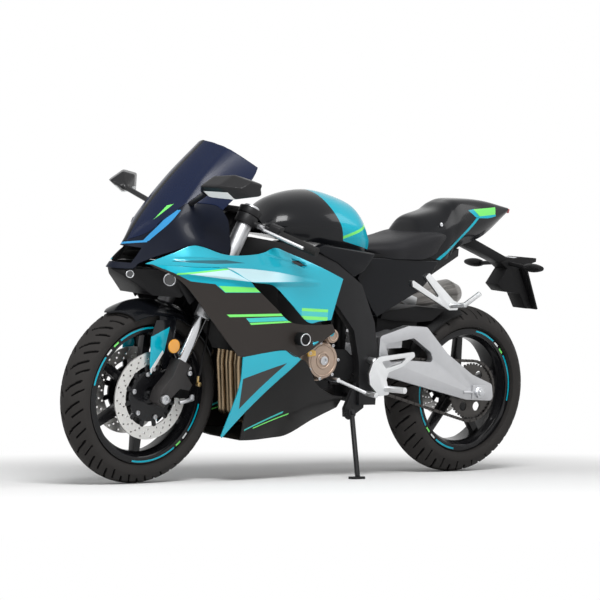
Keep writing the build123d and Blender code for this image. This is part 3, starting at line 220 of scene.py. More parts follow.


# Lens or screen: hazy tint, lime marks by place, and a black strip along the middle line painted as the dark
# reflection on the screen's ridge
def lens(name, colour, alpha, rough=0.04, marks=(), sheen=0.5, coat=1.0, ridge=0.0):
    shader = Shader(name)
    spot = shader.place()
    haze = shader.noise(spot, grains["haze"], 3.0)
    tone = shader.mix(haze, colour, shade(colour, 0.85))
    x, y, z = shader.axes(spot)
    for corners in marks:
        tone = shader.mix(shader.inside(x, z, list(corners)), tone, colours["lime"])
    # painted reflection: a black strip this close to the middle line stands in for the dark reflection along the
    # ridge
    if ridge:
        tone = shader.mix(y.math("ABSOLUTE") < ridge, tone, colours["black"])
    return shader.set(Base_Color=tone, Roughness=haze * 0.03 + rough, Alpha=alpha, Coat_Weight=coat,
                      Coat_Roughness=0.03, Specular_IOR_Level=sheen)


# Side panel: cyan along its top edge, then plain lime and teal stripes across the slate, and a pale band under the
# crease painted as its highlight, as (x, z) corners
midMarks = {
    "cyan": [[(770, 735), (643, 681), (558, 676), (558, 735)], [(558, 735), (558, 676), (519, 650), (519, 735)],
             [(519, 735), (519, 650), (386, 655), (380, 735)]],
    "lime": [[(690, 705), (515, 730), (515, 725), (690, 699)], [(545, 671), (519, 651), (386, 656), (405, 671)],
             [(508, 579), (282, 589), (275, 581), (497, 571)], [(421, 554), (260, 565), (255, 560), (414, 548)]],
    "teal": [[(435, 569), (272, 579), (260, 566), (421, 556)]],
    # painted highlight: the pale band under the crease, continuing the wing's
    "pale": [[(660, 704), (515, 725), (440, 690), (540, 695)]],
}


def midStripes(s, x, y, z):
    return [(s.inside(x, z, corners), colours[tint]) for tint, marks in midMarks.items() for corners in marks]


# Wing: lime and teal stripes at its foot, a pale band along the crease painted as its highlight, the slot darkened as
# painted shadow, and a black vent
wingMarks = {
    "stripes": (108, 217), "lean": (160, 0.02), "lime": ((570, 582), (598, 608)), "teal": (582, 598),
    # painted highlight: pale band along the crease, faded in from the rear
    "pale": [(521, 731), (436, 689), (220, 697), (216, 711), (330, 725), (430, 731)], "highlightFade": (215, 360),
    # painted shadow: the slot's cyan is darkened to stand in for the shade in the pressed slot
    "slot": [(704, 741), (690, 746), (520, 755), (452, 749), (560, 741)], "slotShadow": 0.3,
    "vent": [(273, 763), (248, 767), (213, 750), (236, 746)],
}


def wingStripes(s, x, y, z):
    middle, lean = wingMarks["lean"]
    slant = z - (x - middle) * lean
    reach = x.between(*wingMarks["stripes"])
    low, high = [slant.between(*band) for band in wingMarks["lime"]]
    # the pale band is a painted highlight on the crease
    pale, slot, vent = [s.inside(x, z, wingMarks[part]) for part in ("pale", "slot", "vent")]
    return [(low.either(high) * reach, colours["lime"]), (slant.between(*wingMarks["teal"]) * reach, colours["teal"]),
            (pale * x.fade(*wingMarks["highlightFade"]), colours["pale"]),
            # painted shadow in the slot; the vent is black
            (slot, shade(colours["cyan"], wingMarks["slotShadow"])), (vent, colours["black"])]


# Cyan top band and rear blade round a slate triangle
lowerMarks = {"band": ((419, 372), (254, 428)), "blade": ((486, 212), (225, 462)), "front": 428, "shade": 0.45}


def lowerStripes(s, x, y, z):
    band = s.above(x, z, *lowerMarks["band"])
    blade = s.above(x, z, *lowerMarks["blade"]).outside()
    triangle = band.either(blade).either(x > lowerMarks["front"]).outside()
    return [(triangle, shade(colours["slate"], lowerMarks["shade"]))]


# Two thin lines up the belly, each by its lower and its upper edge
bellyMarks = {"teal": (((387, 192), (228, 250)), ((387, 197), (228, 257))),
              "lime": (((347, 198), (200, 244)), ((347, 202), (200, 249)))}


def bellyStripes(s, x, y, z):
    lines = []
    for tint, (under, over) in bellyMarks.items():
        line = s.above(x, z, *under) * s.above(x, z, *over).outside()
        lines.append((line * x.between(under[1][0], under[0][0]), colours[tint]))
    return lines


# Tank: black front and flanks, cyan over the rear, a lime line across it
tankMarks = {"rear": ((-200, 475), (72, 995)), "over": ((-9, 838), (-164, 810)),
             "limeTop": ((-20, 862), (-110, 897)), "limeFoot": ((-20, 850), (-110, 886))}


def tankAreas(s, x, y, z):
    rear, over, limeTop, limeFoot = [s.above(x, z, *line) for line in tankMarks.values()]
    patch = rear * over
    return [(patch, colours["cyan"]), (patch * limeTop.outside() * limeFoot, colours["lime"])]


# Tail: cyan line up the flank, a cyan edge round a plain lime end patch
tailMarks = [
    ("cyan", [(-625, 976), (-668, 951), (-688, 954), (-655, 981)]),
    ("cyan", [(-472, 780), (-450, 780), (-666, 949), (-687, 953)]),
    ("cyan", [(-680, 950), (-740, 952), (-789, 961), (-790, 968), (-687, 957)]),
    ("lime", [(-655, 981), (-687, 957), (-788, 968), (-793, 995)]),
]


def tailAreas(s, x, y, z):
    return [(s.inside(x, z, corners), colours[tint]) for tint, corners in tailMarks]


# White lenses low on the front of the mirrors
mirrorMarks = {"lens": [(696, 971), (550, 974), (590, 949), (664, 950)], "reach": (262, 338)}


def mirrorLenses(s, x, y, z):
    out = y.math("ABSOLUTE").between(*mirrorMarks["reach"])
    return [(s.inside(x, z, mirrorMarks["lens"]) * out, colours["white"])]


finishes = {
    "mirror_shell": paint("mirrorShell", (0.01, 0.01, 0.011, 1), 0.0, 0.35, 0.15, 0.15, layers=mirrorLenses,
                          sheen=0.2),
    "black_paint": paint("blackLacquer", colours["black"], 0.0, 0.2, 0.2, 0.15, sheen=0.12),
    "cyan_paint": paint("cyanMetallic", colours["cyan"], 0.25, 0.32, 0.14, 0.6, layers=wingStripes),
    "slate_paint": paint("slateSatin", colours["slate"], 0.0, 0.42, 0.12, 0.1, layers=midStripes, sheen=0.2),
    "lower_paint": paint("bladeLacquer", colours["cyan"], 0.25, 0.32, 0.14, 0.6, layers=lowerStripes),
    "belly_paint": paint("bellyLacquer", (0.009, 0.0085, 0.0085, 1), 0.0, 0.34, 0.15, 0.1, layers=bellyStripes,
                         sheen=0.15),
    "tank_paint": paint("tankLacquer", colours["black"], 0.0, 0.22, 0.14, 0.25, layers=tankAreas, sheen=0.15),
    "tail_paint": paint("tailLacquer", colours["black"], 0.0, 0.22, 0.14, 0.2, layers=tailAreas, sheen=0.12),
    "dark_metal": grainFinish("frameCoat", (0.014, 0.014, 0.015), 0.45, 0.5, 0.12, 0.1, sheen=0.2),
    "engine_metal": grainFinish("castCase", (0.012, 0.012, 0.013), 0.5, 0.35, 0.35, 0.1, sheen=0.2),
    "cover_metal": grainFinish("bronzeCase", (0.38, 0.29, 0.23), 0.42, 0.35, 0.25, 0.7),
    "pale_alloy": metalFinish("paleAlloy", (0.72, 0.73, 0.74), 0.38, (0.06, 0.6, 0.06), 0.06),
    "silver": metalFinish("satinAlloy", (0.5, 0.505, 0.52), 0.44, (0.06, 0.6, 0.06), 0.08),
    "bright": metalFinish("polishedSteel", (0.55, 0.56, 0.58), 0.2, (0.03, 0.3, 0.03), 0.05),
    "disc_steel": metalFinish("groundSteel", (0.68, 0.67, 0.65), 0.4, (0.3, 0.3, 0.3), 0.06),
    "pipe": metalFinish("heatedPipe", (0.4, 0.3, 0.19), 0.32, (0.03, 0.03, 0.2), 0.25, soot=(440, 520)),
    "black_plastic": grainFinish("mouldedPlastic", (0.006, 0.006, 0.0065), 0.5, 0.8, 0.3, sheen=0.14),
    "tyre": grainFinish("roadRubber", (0.028, 0.026, 0.025), 0.78, 0.5, 0.3, sheen=0.15),
    "grip_rubber": grainFinish("gripRubber", (0.01, 0.01, 0.01), 0.75, 0.9, 0.4, sheen=0.25),
    "seat_cover": grainFinish("seatVinyl", (0.01, 0.01, 0.012), 0.5, 1.1, 0.5, sheen=0.22),
    "rim_black": paint("rimLacquer", (0.006, 0.006, 0.007, 1), 0.0, 0.25, 0.2, 0.2, sheen=0.2),
    "chain_steel": metalFinish("chainSteel", (0.07, 0.066, 0.063), 0.45, (0.3, 0.3, 0.3), 0.2),
    "yellow_paint": paint("yellowInsert", (0.75, 0.42, 0.03, 1), 0.0, 0.35, 0.1),
    "cyan_bar": paint("cyanRod", colours["cyan"], 0.5, 0.3, 0.14),
    # the screen's middle strip is painted black as the ridge's dark reflection
    "screen": lens("smokedScreen", (0.008, 0.014, 0.042, 1), 0.96, 0.22, [((722, 868), (679, 918), (664, 924))],
                   sheen=0.16, coat=0.0, ridge=9.0),
    "lamp_clear": lens("clearLens", (0.03, 0.032, 0.036, 1), 0.9, sheen=0.6),
    "lamp_red": lens("redLens", (0.4, 0.01, 0.012, 1), 0.9),
    "lamp_amber": lens("amberLens", (0.8, 0.34, 0.02, 1), 0.97),
    # painted shadow: near-black rubber laid into the tyre's cuts
    "groove": grainFinish("grooveRubber", (0.004, 0.004, 0.004), 0.85, 0.5, 0.2, sheen=0.05),
    "foot_metal": grainFinish("castFoot", (0.032, 0.03, 0.03), 0.5, 0.4, 0.25, 0.1, sheen=0.25),
    "muffler_steel": metalFinish("brushedCan", (0.22, 0.21, 0.2), 0.4, (0.02, 0.5, 0.5), 0.12),
    "brass": metalFinish("brassFitting", (0.5, 0.36, 0.16), 0.35, (0.2, 0.2, 0.2), 0.1),
}

slotOf = {entry["node"]: entry["material_slot"] for entry in frame["record"]["subparts"]}
for nodeName, nodeObject in nodes.items():
    nodeObject.data.materials.clear()
    nodeObject.data.materials.append(finishes[slotOf[nodeName]].material)
print("finishes on", len(nodes), "nodes")


# Shared modelling steps
def fresh():
    if bpy.context.object and bpy.context.object.mode != "OBJECT":
        bpy.ops.object.mode_set(mode="OBJECT")
    bpy.ops.object.select_all(action="DESELECT")


def only(*pieces):
    fresh()
    for piece in pieces:
        piece.select_set(True)
    bpy.context.view_layer.objects.active = pieces[0]


def modify(piece, kind, **settings):
    only(piece)
    step = piece.modifiers.new("step", kind)
    for key, value in settings.items():
        setattr(step, key, value)
    bpy.ops.object.modifier_apply(modifier="step")


def edit(piece):
    only(piece)
    bpy.ops.object.mode_set(mode="EDIT")
    bpy.ops.mesh.select_all(action="SELECT")


# Picks out the mesh parts that pass a test, and stays in edit mode
def pickOut(piece, kind, test):
    edit(piece)
    bpy.ops.mesh.select_all(action="DESELECT")
    bpy.ops.object.mode_set(mode="OBJECT")
    for part in getattr(piece.data, kind):
        part.select = test(part)
    bpy.ops.object.mode_set(mode="EDIT")


def joined(pieces):
    only(*pieces)
    if len(pieces) > 1:
        bpy.ops.object.join()
    return bpy.context.object


def copyOf(piece):
    only(piece)
    bpy.ops.object.duplicate()
    return bpy.context.object


def remove(piece):
    only(piece)
    bpy.ops.object.delete()


def merge(piece, threshold):
    edit(piece)
    bpy.ops.mesh.remove_doubles(threshold=threshold)


def roundEdges(piece, width, angle=50, segments=2):
    modify(piece, "BEVEL", width=width, segments=segments, limit_method="ANGLE", angle_limit=math.radians(angle))


# Turn that points +Z along an axis
def facing(axis):
    return Vector(axis).to_track_quat("Z", "Y").to_matrix().to_4x4()


# Puts a finished piece's place into its mesh, gives it its finish and its body
def settle(piece, name, finish, body="chassis", matrix=toWorld, angle=35, stands=()):
    if matrix is not None:
        piece.data.transform(matrix @ piece.matrix_basis)
        piece.matrix_basis = Matrix.Identity(4)
    piece.name = name
    piece.data.materials.clear()
    piece.data.materials.append(finishes[finish].material)
    only(piece)
    bpy.ops.object.shade_smooth_by_angle(angle=math.radians(angle))
    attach(piece, body)
    if stands:
        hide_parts(*stands)
    return piece


# Paints the inner face of a settled panel black; the outer one looks ahead, out to its side and a little up
panelAim = {"ahead": 0.5, "out": 1.0, "up": 0.15}


def lined(piece):
    piece.data.materials.append(finishes["black_plastic"].material)
    home = toWorld.inverted()
    turn = home.to_3x3()
    for face in piece.data.polygons:
        out = math.copysign(panelAim["out"], (home @ face.center).y)
        if (turn @ face.normal).dot(Vector((panelAim["ahead"], out, panelAim["up"]))) < 0:
            face.material_index = 1
    return piece


# Grid bent into a form: shape(u, v) gives the point in the bike
def formed(across, along, shape):
    fresh()
    bpy.ops.mesh.primitive_grid_add(x_subdivisions=across, y_subdivisions=along, size=2)
    piece = bpy.context.object
    for spot in piece.data.vertices:
        spot.co = shape((spot.co.x + 1) / 2, (spot.co.y + 1) / 2)
    return piece


weld = {"form": 0.02, "node": 0.00002}


def outward(piece):
    merge(piece, weld["form"])
    bpy.ops.mesh.normals_make_consistent(inside=False)
    bpy.ops.object.mode_set(mode="OBJECT")
    return piece


# Turns a skin's faces towards an aim and thickens it inwards
def thicken(skin, aim, wall=4.0):
    outward(skin)
    if sum(f.normal.dot(Vector(aim)) * f.area for f in skin.data.polygons) < 0:
        skin.data.flip_normals()
    modify(skin, "SOLIDIFY", thickness=wall, offset=-1)
    return skin


def twinOf(piece):
    twin = copyOf(piece)
    twin.data.transform(Matrix.Scale(-1, 4, (0, 1, 0)))
    twin.data.flip_normals()
    return twin


def mirrored(piece):
    return joined([piece, twinOf(piece)])


def both(pieces):
    return mirrored(joined(pieces))


# Smooth curve through evenly counted points, t from 0 to 1
def curveAt(points, t):
    last = len(points) - 1
    k = min(int(t * last), last - 1)
    f = t * last - k

    def point(i):
        if i < 0:
            return [2 * a - b for a, b in zip(points[0], points[1])]
        if i > last:
            return [2 * a - b for a, b in zip(points[last], points[last - 1])]
        return points[i]

    out = []
    for a, b, c, d in zip(point(k - 1), point(k), point(k + 1), point(k + 2)):
        square, cube = 2 * a - 5 * b + 4 * c - d, 3 * b - a - 3 * c + d
        out.append(0.5 * (2 * b + (c - a) * f + square * f * f + cube * f ** 3))
    return out


# Smooth curve through (place, value) knots in rising order, without overshoot
def through(knots, x):
    if x <= knots[0][0]:
        return knots[0][1]
    if x >= knots[-1][0]:
        return knots[-1][1]
    k = max(i for i in range(len(knots) - 1) if knots[i][0] <= x)

    def run(i):
        return (knots[i + 1][1] - knots[i][1]) / (knots[i + 1][0] - knots[i][0])

    def slope(i):
        if i == 0:
            return run(0)
        if i == len(knots) - 1:
            return run(i - 1)
        a, b = run(i - 1), run(i)
        return 0.0 if a * b <= 0 else 2 * a * b / (a + b)

    h = knots[k + 1][0] - knots[k][0]
    f = (x - knots[k][0]) / h
    low, high = knots[k][1], knots[k + 1][1]
    return ((2 * f ** 3 - 3 * f * f + 1) * low + (f ** 3 - 2 * f * f + f) * h * slope(k)
            + (3 * f * f - 2 * f ** 3) * high + (f ** 3 - f * f) * h * slope(k + 1))


# Softer copy of a CAD node: merged, flat faces joined, edges rounded, wide ones in more steps; angles in degrees
softening = {"flat": 0.5, "edge": 32, "smooth": 40, "wide": 8, "steps": (2, 4)}


def soften(node, name, width, finish):
    piece = copyOf(nodes[node])
    merge(piece, weld["node"])
    bpy.ops.mesh.dissolve_limited(angle_limit=math.radians(softening["flat"]))
    bpy.ops.object.mode_set(mode="OBJECT")
    roundEdges(piece, width * 0.001, softening["edge"], softening["steps"][width > softening["wide"]])
    homes = [b for b, names in frame["record"]["behaviour"]["bodies"].items() if node in names]
    settle(piece, name, finish, homes[0], None, softening["smooth"], (node,))


def bar(start, end, radius, sides, ends):
    fresh()
    line = Vector(end) - Vector(start)
    bpy.ops.mesh.primitive_cylinder_add(radius=radius, depth=line.length, vertices=sides)
    piece = bpy.context.object
    piece.data.transform(Matrix.Translation((Vector(start) + Vector(end)) / 2) @ facing(line))
    if ends:
        roundEdges(piece, ends)
    return piece


# Socket bolt: domed round head with a sunk hole, made by insets of (share of the radius, share of the height)
boltSteps = ((0.16, 0.12), (0.3, 0.0), (0.04, -0.5))


def bolt(place, axis, radius, tall):
    fresh()
    bpy.ops.mesh.primitive_cylinder_add(radius=radius, depth=tall, vertices=24)
    piece = bpy.context.object
    pickOut(piece, "polygons", lambda face: face.normal.z > 0.9)
    for inwards, upwards in boltSteps:
        bpy.ops.mesh.inset(thickness=radius * inwards, depth=tall * upwards)
    bpy.ops.object.mode_set(mode="OBJECT")
    piece.data.transform(Matrix.Translation(Vector(place) + Vector(axis).normalized() * tall * 0.5) @ facing(axis))
    return piece


def ring(centre, axis, radius, thick):
    fresh()
    bpy.ops.mesh.primitive_torus_add(major_radius=radius, minor_radius=thick, major_segments=40, minor_segments=10)
    piece = bpy.context.object
    piece.data.transform(Matrix.Translation(centre) @ facing(axis))
    return piece


# Block over an (x, z) outline, to half its width on each side
def prism(outline, half):
    fresh()
    bpy.ops.mesh.primitive_circle_add(vertices=len(outline), radius=1, fill_type="NGON")
    piece = bpy.context.object
    for spot, (x, z) in zip(piece.data.vertices, outline):
        spot.co = (x, -half, z)
    edit(piece)
    bpy.ops.mesh.extrude_region_move(TRANSFORM_OT_translate={"value": (0, 2 * half, 0)})
    bpy.ops.mesh.select_all(action="SELECT")
    bpy.ops.mesh.normals_make_consistent(inside=False)
    bpy.ops.object.mode_set(mode="OBJECT")
    return piece


# Plate over an (x, z) outline between two widths
def plate(outline, inner, outer, edge=1.0):
    piece = prism(outline, (outer - inner) / 2)
    piece.data.transform(Matrix.Translation((0, (outer + inner) / 2, 0)))
    roundEdges(piece, edge, 40)
    return piece


def cutBy(piece, cutter):
    modify(piece, "BOOLEAN", object=cutter, operation="DIFFERENCE", solver="EXACT")
    remove(cutter)
    return piece


# Fairing sides: one skin, given as (half width, height) rows at stations along the bike
skinRows = {
    790: [(60, 830), (78, 790), (94, 728), (86, 640), (84, 545), (84, 445), (84, 300), (80, 170)],
    640: [(160, 830), (176, 790), (192, 728), (182, 640), (180, 545), (180, 445), (180, 300), (176, 168)],
    510: [(178, 830), (194, 790), (210, 728), (206, 640), (207, 545), (210, 445), (204, 300), (196, 166)],
    333: [(186, 830), (206, 790), (226, 728), (220, 640), (220, 545), (220, 445), (198, 300), (158, 158)],
    205: [(196, 830), (214, 790), (232, 728), (224, 640), (226, 545), (232, 445), (192, 300), (128, 162)],
    50: [(204, 830), (218, 790), (230, 728), (228, 640), (228, 545), (226, 445), (170, 300), (124, 224)],
    -45: [(206, 830), (218, 790), (228, 728), (226, 640), (226, 545), (224, 445), (156, 306), (124, 262)],
}
stations = sorted(skinRows)


# (height, half width) knots of the skin at one station, from its foot up
def skinSection(x):
    rows = []
    for k in range(len(skinRows[stations[0]])):
        wide, high = [through([(s, skinRows[s][k][i]) for s in stations], x) for i in (0, 1)]
        rows.append((high, wide))
    return rows[::-1]


# Patch of the skin: rows of (x, z) points from its top edge to its bottom edge
def skinPatch(rows, across, along, relief=None):
    def shape(u, v):
        x, z = curveAt([curveAt(row, u) for row in rows], v)
        y = through(skinSection(x), z)
        return Vector((x, y + relief(x, z) if relief else y, z))

    return formed(across, along, shape)


panelEdge = 0.8


def panelFrom(piece, name, finish, node):
    roundEdges(thicken(piece, (0, 1, 0)), panelEdge)
    lined(settle(mirrored(piece), name, finish, stands=(node,)))


wing = {
    "top": [(770, 728), (700, 766), (628, 796), (519, 772), (400, 780), (333, 803), (281, 789), (160, 750),
            (55, 712)],
    "bottom": [(768, 727), (640, 728), (517, 728), (436, 690), (341, 679), (268, 627), (190, 563), (140, 566),
               (92, 572)],
    "slot": (700, 470, 748, 11), "slotDeep": 5, "slotLean": 0.01,
    "vent": (272, 218, 757, 8), "ventDeep": 12, "ventLean": (245, 0.25),
}

# Crease along the flank: the skin leans out from its upper line down to its crest, then drops back
crease = {"top": [(145, 700), (225, 713), (410, 729), (521, 730), (720, 727)],
          "crest": [(145, 699), (341, 691), (435, 689), (521, 701), (720, 706)],
          "lean": 0.42, "drop": 16, "ledge": ((398, 784), (177, 737)), "ledgeOut": 5, "ledgeRise": 5,
          "ledgeEnds": (30, 60)}


def creaseRelief(x, z):
    if not crease["top"][0][0] < x < crease["top"][-1][0]:
        return 0.0
    top, crest = through(crease["top"], x), through(crease["crest"], x)
    if z >= top:
        return 0.0
    if z >= crest:
        return crease["lean"] * (top - z)
    return crease["lean"] * (top - crest) * max(0.0, 1 - (crest - z) / crease["drop"])


# Long slot under the peak and a small vent near the tank, both pressed in, and a raised ledge over the crease
def wingRelief(x, z):
    press = creaseRelief(x, z)
    (front, frontLevel), (rear, rearLevel) = crease["ledge"]
    if rear < x < front:
        line = rearLevel + (frontLevel - rearLevel) * (x - rear) / (front - rear)
        ends = min(1.0, (front - x) / crease["ledgeEnds"][0], (x - rear) / crease["ledgeEnds"][1])
        press += crease["ledgeOut"] * ends * min(1.0, max(0.0, (z - line) / crease["ledgeRise"]))
    start, end, level, half = wing["slot"]
    if end < x < start:
        share = math.sin(math.pi * (x - end) / (start - end)) ** 0.5
        gap = abs(z - level - (x - end) * wing["slotLean"]) / (half * share + 0.01)
        press -= wing["slotDeep"] * share * max(0.0, 1 - gap ** 2)
    start, end, level, half = wing["vent"]
    middle, lean = wing["ventLean"]
    if end < x < start:
        gap = abs(z - level - (x - middle) * lean) / half
        press -= wing["ventDeep"] * max(0.0, 1 - gap ** 4)
    return press


middleRow = [[(a[0] + b[0]) / 2, (a[1] + b[1]) / 2] for a, b in zip(wing["top"], wing["bottom"])]
wingPatch = skinPatch([wing["top"], middleRow, wing["bottom"]], 190, 60, wingRelief)
panelFrom(wingPatch, "wingPanels", "cyan_paint", "wing_panels")

mid = {
    "top": [(760, 727), (640, 727), (516, 726.5), (432, 685), (388, 656), (325, 609), (259, 561), (165, 553),
            (85, 557)],
    "bottom": [(758, 725), (664, 672), (560, 557), (476, 465), (440, 443), (330, 461), (280, 468), (215, 447),
               (70, 532)],
}
panelFrom(skinPatch([mid["top"], mid["bottom"]], 150, 70, creaseRelief), "midPanels", "slate_paint", "mid_panels")

lower = {
    "top": [(437, 441), (360, 455), (280, 466), (242, 454), (211, 438)],
    "mid": [(440, 330), (410, 332), (380, 334), (350, 332), (322, 330)],
    "tip": [(490, 178), (489, 177), (488, 175.5), (487, 174), (486, 173)],
}
panelFrom(skinPatch(list(lower.values()), 60, 60), "lowerPanels", "lower_paint", "lower_panels")

# Belly pan: down each wall, then across the floor; its right wall ends sooner
belly = {
    "top": [(398, 257), (300, 350), (209, 437), (120, 355), (28, 312), (-42, 300)],
    "bottom": [(398, 140), (325, 134), (250, 130), (100, 170), (30, 199), (-42, 230)],
    "wall": 0.75, "floorDrop": 6, "farNotch": (112, -72),
}


def bellyShape(u, v):
    top, low = curveAt(belly["top"], u), curveAt(belly["bottom"], u)
    down = min(1, v / belly["wall"])
    x = top[0] + (low[0] - top[0]) * down
    rows = skinSection(x)
    floor = max(low[1], rows[0][0])
    if v <= belly["wall"]:
        z = top[1] + (floor - top[1]) * down
        return Vector((x, through(rows, z), z))
    share = (v - belly["wall"]) / (1 - belly["wall"])
    return Vector((x, rows[0][1] * (1 - share), floor - belly["floorDrop"] * share))


bellySide = outward(formed(70, 44, bellyShape))
bellyTwin = twinOf(bellySide)
notchFront, notchSide = belly["farNotch"]
pickOut(bellyTwin, "vertices", lambda spot: spot.co.x < notchFront and spot.co.y < notchSide)
bpy.ops.mesh.delete(type="VERT")
bpy.ops.object.mode_set(mode="OBJECT")
bellyPan = thicken(joined([bellySide, bellyTwin]), (0, 0, -1))
settle(bellyPan, "bellyPan", "belly_paint", stands=("belly_pan",))
print("fairing sides done")

# Nose and screen: V sections from the middle line to the rear edge, one per height
noseLevels = {
    708: [(846, 0), (812, 48), (700, 142), (560, 190)],
    790: [(792, 0), (742, 62), (640, 172), (500, 196)],
    880: [(737, 0), (690, 95), (632, 142), (488, 184)],
    1014: [(630, 0), (590, 85), (548, 122), (408, 174)],
    1142: [(507, 0), (468, 75), (434, 106), (326, 162)],
}
heights = sorted(noseLevels)


def nosePoint(s, z):
    half = []
    for k in range(len(noseLevels[heights[0]])):
        half.append([through([(h, noseLevels[h][k][i]) for h in heights], z) for i in (0, 1)])
    whole = [[x, -y] for x, y in reversed(half[1:])] + half
    x, y = curveAt(whole, 0.5 + min(1.0, s) / 2)
    return Vector((x, max(0.0, y) if s < 0.001 else y, z))


# Share of the way from the middle line to the rear edge at which the nose reaches x, by halving
def noseShare(x, z, halvings=18):
    low, high = 0.0, 1.0
    for _ in range(halvings):
        middle = (low + high) / 2
        if nosePoint(middle, z).x > x:
            low = middle
        else:
            high = middle
    return low


# Four edge lines of (x, z) points make a patch of the nose; the front edge lies on the middle line
def nosePatch(spec, across, along):
    foot, head, back = [[(noseShare(x, z), z) for x, z in spec[edge]] for edge in ("foot", "head", "rear")]
    foot[0] = (0.0, foot[0][1])
    head[0] = (0.0, head[0][1])

    def shape(u, v):
        a, b, d = curveAt(foot, u), curveAt(head, u), curveAt(back, v)
        c = (0.0, foot[0][1] + (head[0][1] - foot[0][1]) * v)
        pair = []
        for i in (0, 1):
            front, rear = [(1 - v) * foot[end][i] + v * head[end][i] for end in (0, -1)]
            corner = (1 - u) * front + u * rear
            pair.append((1 - v) * a[i] + v * b[i] + (1 - u) * c[i] + u * d[i] - corner)
        return nosePoint(max(0.0, pair[0]), pair[1])

    return formed(across, along, shape)


def noseShell(spec, across, along):
    return thicken(mirrored(nosePatch(spec, across, along)), (1, 0, 0))


screen = {
    "foot": [(792, 791), (742, 823), (690, 881), (640, 926), (560, 931), (524, 915)],
    "head": [(507 - 113 * k / 12, 1142 - 80 * k / 12) for k in range(13)],
    "rear": [(524, 915), (470, 966), (426, 1010), (405, 1040), (394, 1062)],
}
screenShell = noseShell(screen, 110, 70)
roundEdges(screenShell, panelEdge, 60)
settle(screenShell, "windscreen", "screen", stands=("windscreen",))

cowl = {
    "foot": [(846, 708), (800, 708), (770, 729), (700, 767), (628, 797), (519, 773), (505, 773)],
    "head": [(792, 790), (742, 822), (690, 880), (640, 925), (560, 930), (524, 914)],
    "rear": [(505, 773), (505, 830), (508, 880), (524, 914)],
    "duct": [(860, 726), (732, 726), (732, 774), (860, 786)], "ductHalf": 56,
    "brow": (783, 790), "browRise": 0.2, "browHalf": 62, "cheek": [(748, 800), (735, 800), (655, 906), (676, 906)],
}


# Air duct under the screen's point, cut clean through; a blue line runs over it and up the screen's foot
def noseAreas(s, x, y, z):
    side = y.math("ABSOLUTE")
    brow = (z - side * cowl["browRise"]).between(*cowl["brow"]) * (side < cowl["browHalf"])
    return [(brow.either(s.inside(x, z, cowl["cheek"])), colours["azure"])]


finishes["nose_paint"] = paint("noseBlack", colours["navy"], 0.0, 0.36, 0.2, 0.05, layers=noseAreas, sheen=0.12)
cowlShell = noseShell(cowl, 90, 40)
cutBy(cowlShell, prism(cowl["duct"], cowl["ductHalf"]))
lined(settle(cowlShell, "noseCowl", "nose_paint", stands=("nose_cowl",)))
print("nose and screen done")


# Tank, tail and seat: half sections from the middle line down, at stations along the bike
def sectionForm(table, across, along):
    def shape(u, v):
        ribs = [[x] + [c for pair in half for c in pair] for x, half in table]
        rib = curveAt(ribs, u)
        half = [(rib[i], rib[i + 1]) for i in range(1, len(rib), 2)]
        whole = half[::-1] + [(-y, z) for y, z in half[1:]]
        y, z = curveAt(whole, v)
        return Vector((rib[0], y, z))

    return formed(along, across, shape)


def capEnds(piece):
    merge(piece, weld["form"])
    bpy.ops.mesh.select_all(action="DESELECT")
    bpy.ops.mesh.select_mode(type="EDGE")
    bpy.ops.mesh.select_non_manifold(extend=False, use_wire=False, use_multi_face=False, use_non_contiguous=False,
                                     use_verts=False)
    bpy.ops.mesh.edge_face_add()
    bpy.ops.mesh.select_all(action="SELECT")
    bpy.ops.mesh.normals_make_consistent(inside=False)
    bpy.ops.mesh.select_mode(type="VERT")
    bpy.ops.object.mode_set(mode="OBJECT")
    return piece


tank = [
    (292, [(0, 900), (48, 892), (70, 872), (66, 846)]),
    (217, [(0, 972), (76, 950), (120, 892), (108, 838)]),
    (78, [(0, 1006), (95, 976), (152, 898), (122, 824)]),
    (-60, [(0, 985), (90, 956), (142, 885), (120, 812)]),
    (-118, [(0, 955), (76, 930), (120, 868), (110, 806)]),
    (-150, [(0, 905), (60, 890), (98, 850), (95, 806)]),
]
settle(capEnds(sectionForm(tank, 60, 56)), "fuelTank", "tank_paint", stands=("fuel_tank",), angle=60)

tail = [
    (-382, [(0, 884), (48, 880), (84, 868), (92, 860), (86, 850)]),
    (-394, [(0, 922), (52, 914), (94, 880), (105, 856), (98, 828)]),
    (-416, [(0, 945), (56, 936), (102, 888), (115, 846), (108, 800)]),
    (-500, [(0, 973), (64, 963), (106, 915), (117, 850), (105, 790)]),
    (-545, [(0, 1001), (66, 990), (102, 926), (110, 868), (94, 812)]),
    (-600, [(0, 1016), (64, 1006), (95, 942), (99, 892), (79, 844)]),
    (-733, [(0, 1016), (48, 1008), (70, 950), (66, 915), (50, 886)]),
    (-880, [(0, 998), (18, 996), (24, 990), (22, 984), (16, 978)]),
]
settle(capEnds(sectionForm(tail, 90, 140)), "tailCowl", "tail_paint", stands=("tail_cowl",), angle=50)

seat = [
    (-151, [(0, 838), (66, 832), (90, 815), (80, 800)]),
    (-250, [(0, 853), (95, 846), (124, 820), (112, 786)]),
    (-320, [(0, 867), (100, 863), (127, 832), (116, 786)]),
    (-395, [(0, 888), (104, 884), (130, 850), (118, 790)]),
    (-455, [(0, 893), (104, 890), (128, 866), (114, 812)]),
    (-498, [(0, 890), (98, 886), (116, 872), (106, 842)]),
]
seatPad = capEnds(sectionForm(seat, 60, 60))
settle(seatPad, "riderSeat", "seat_cover", stands=("rider_seat",), angle=60)
print("tank, tail and seat done")


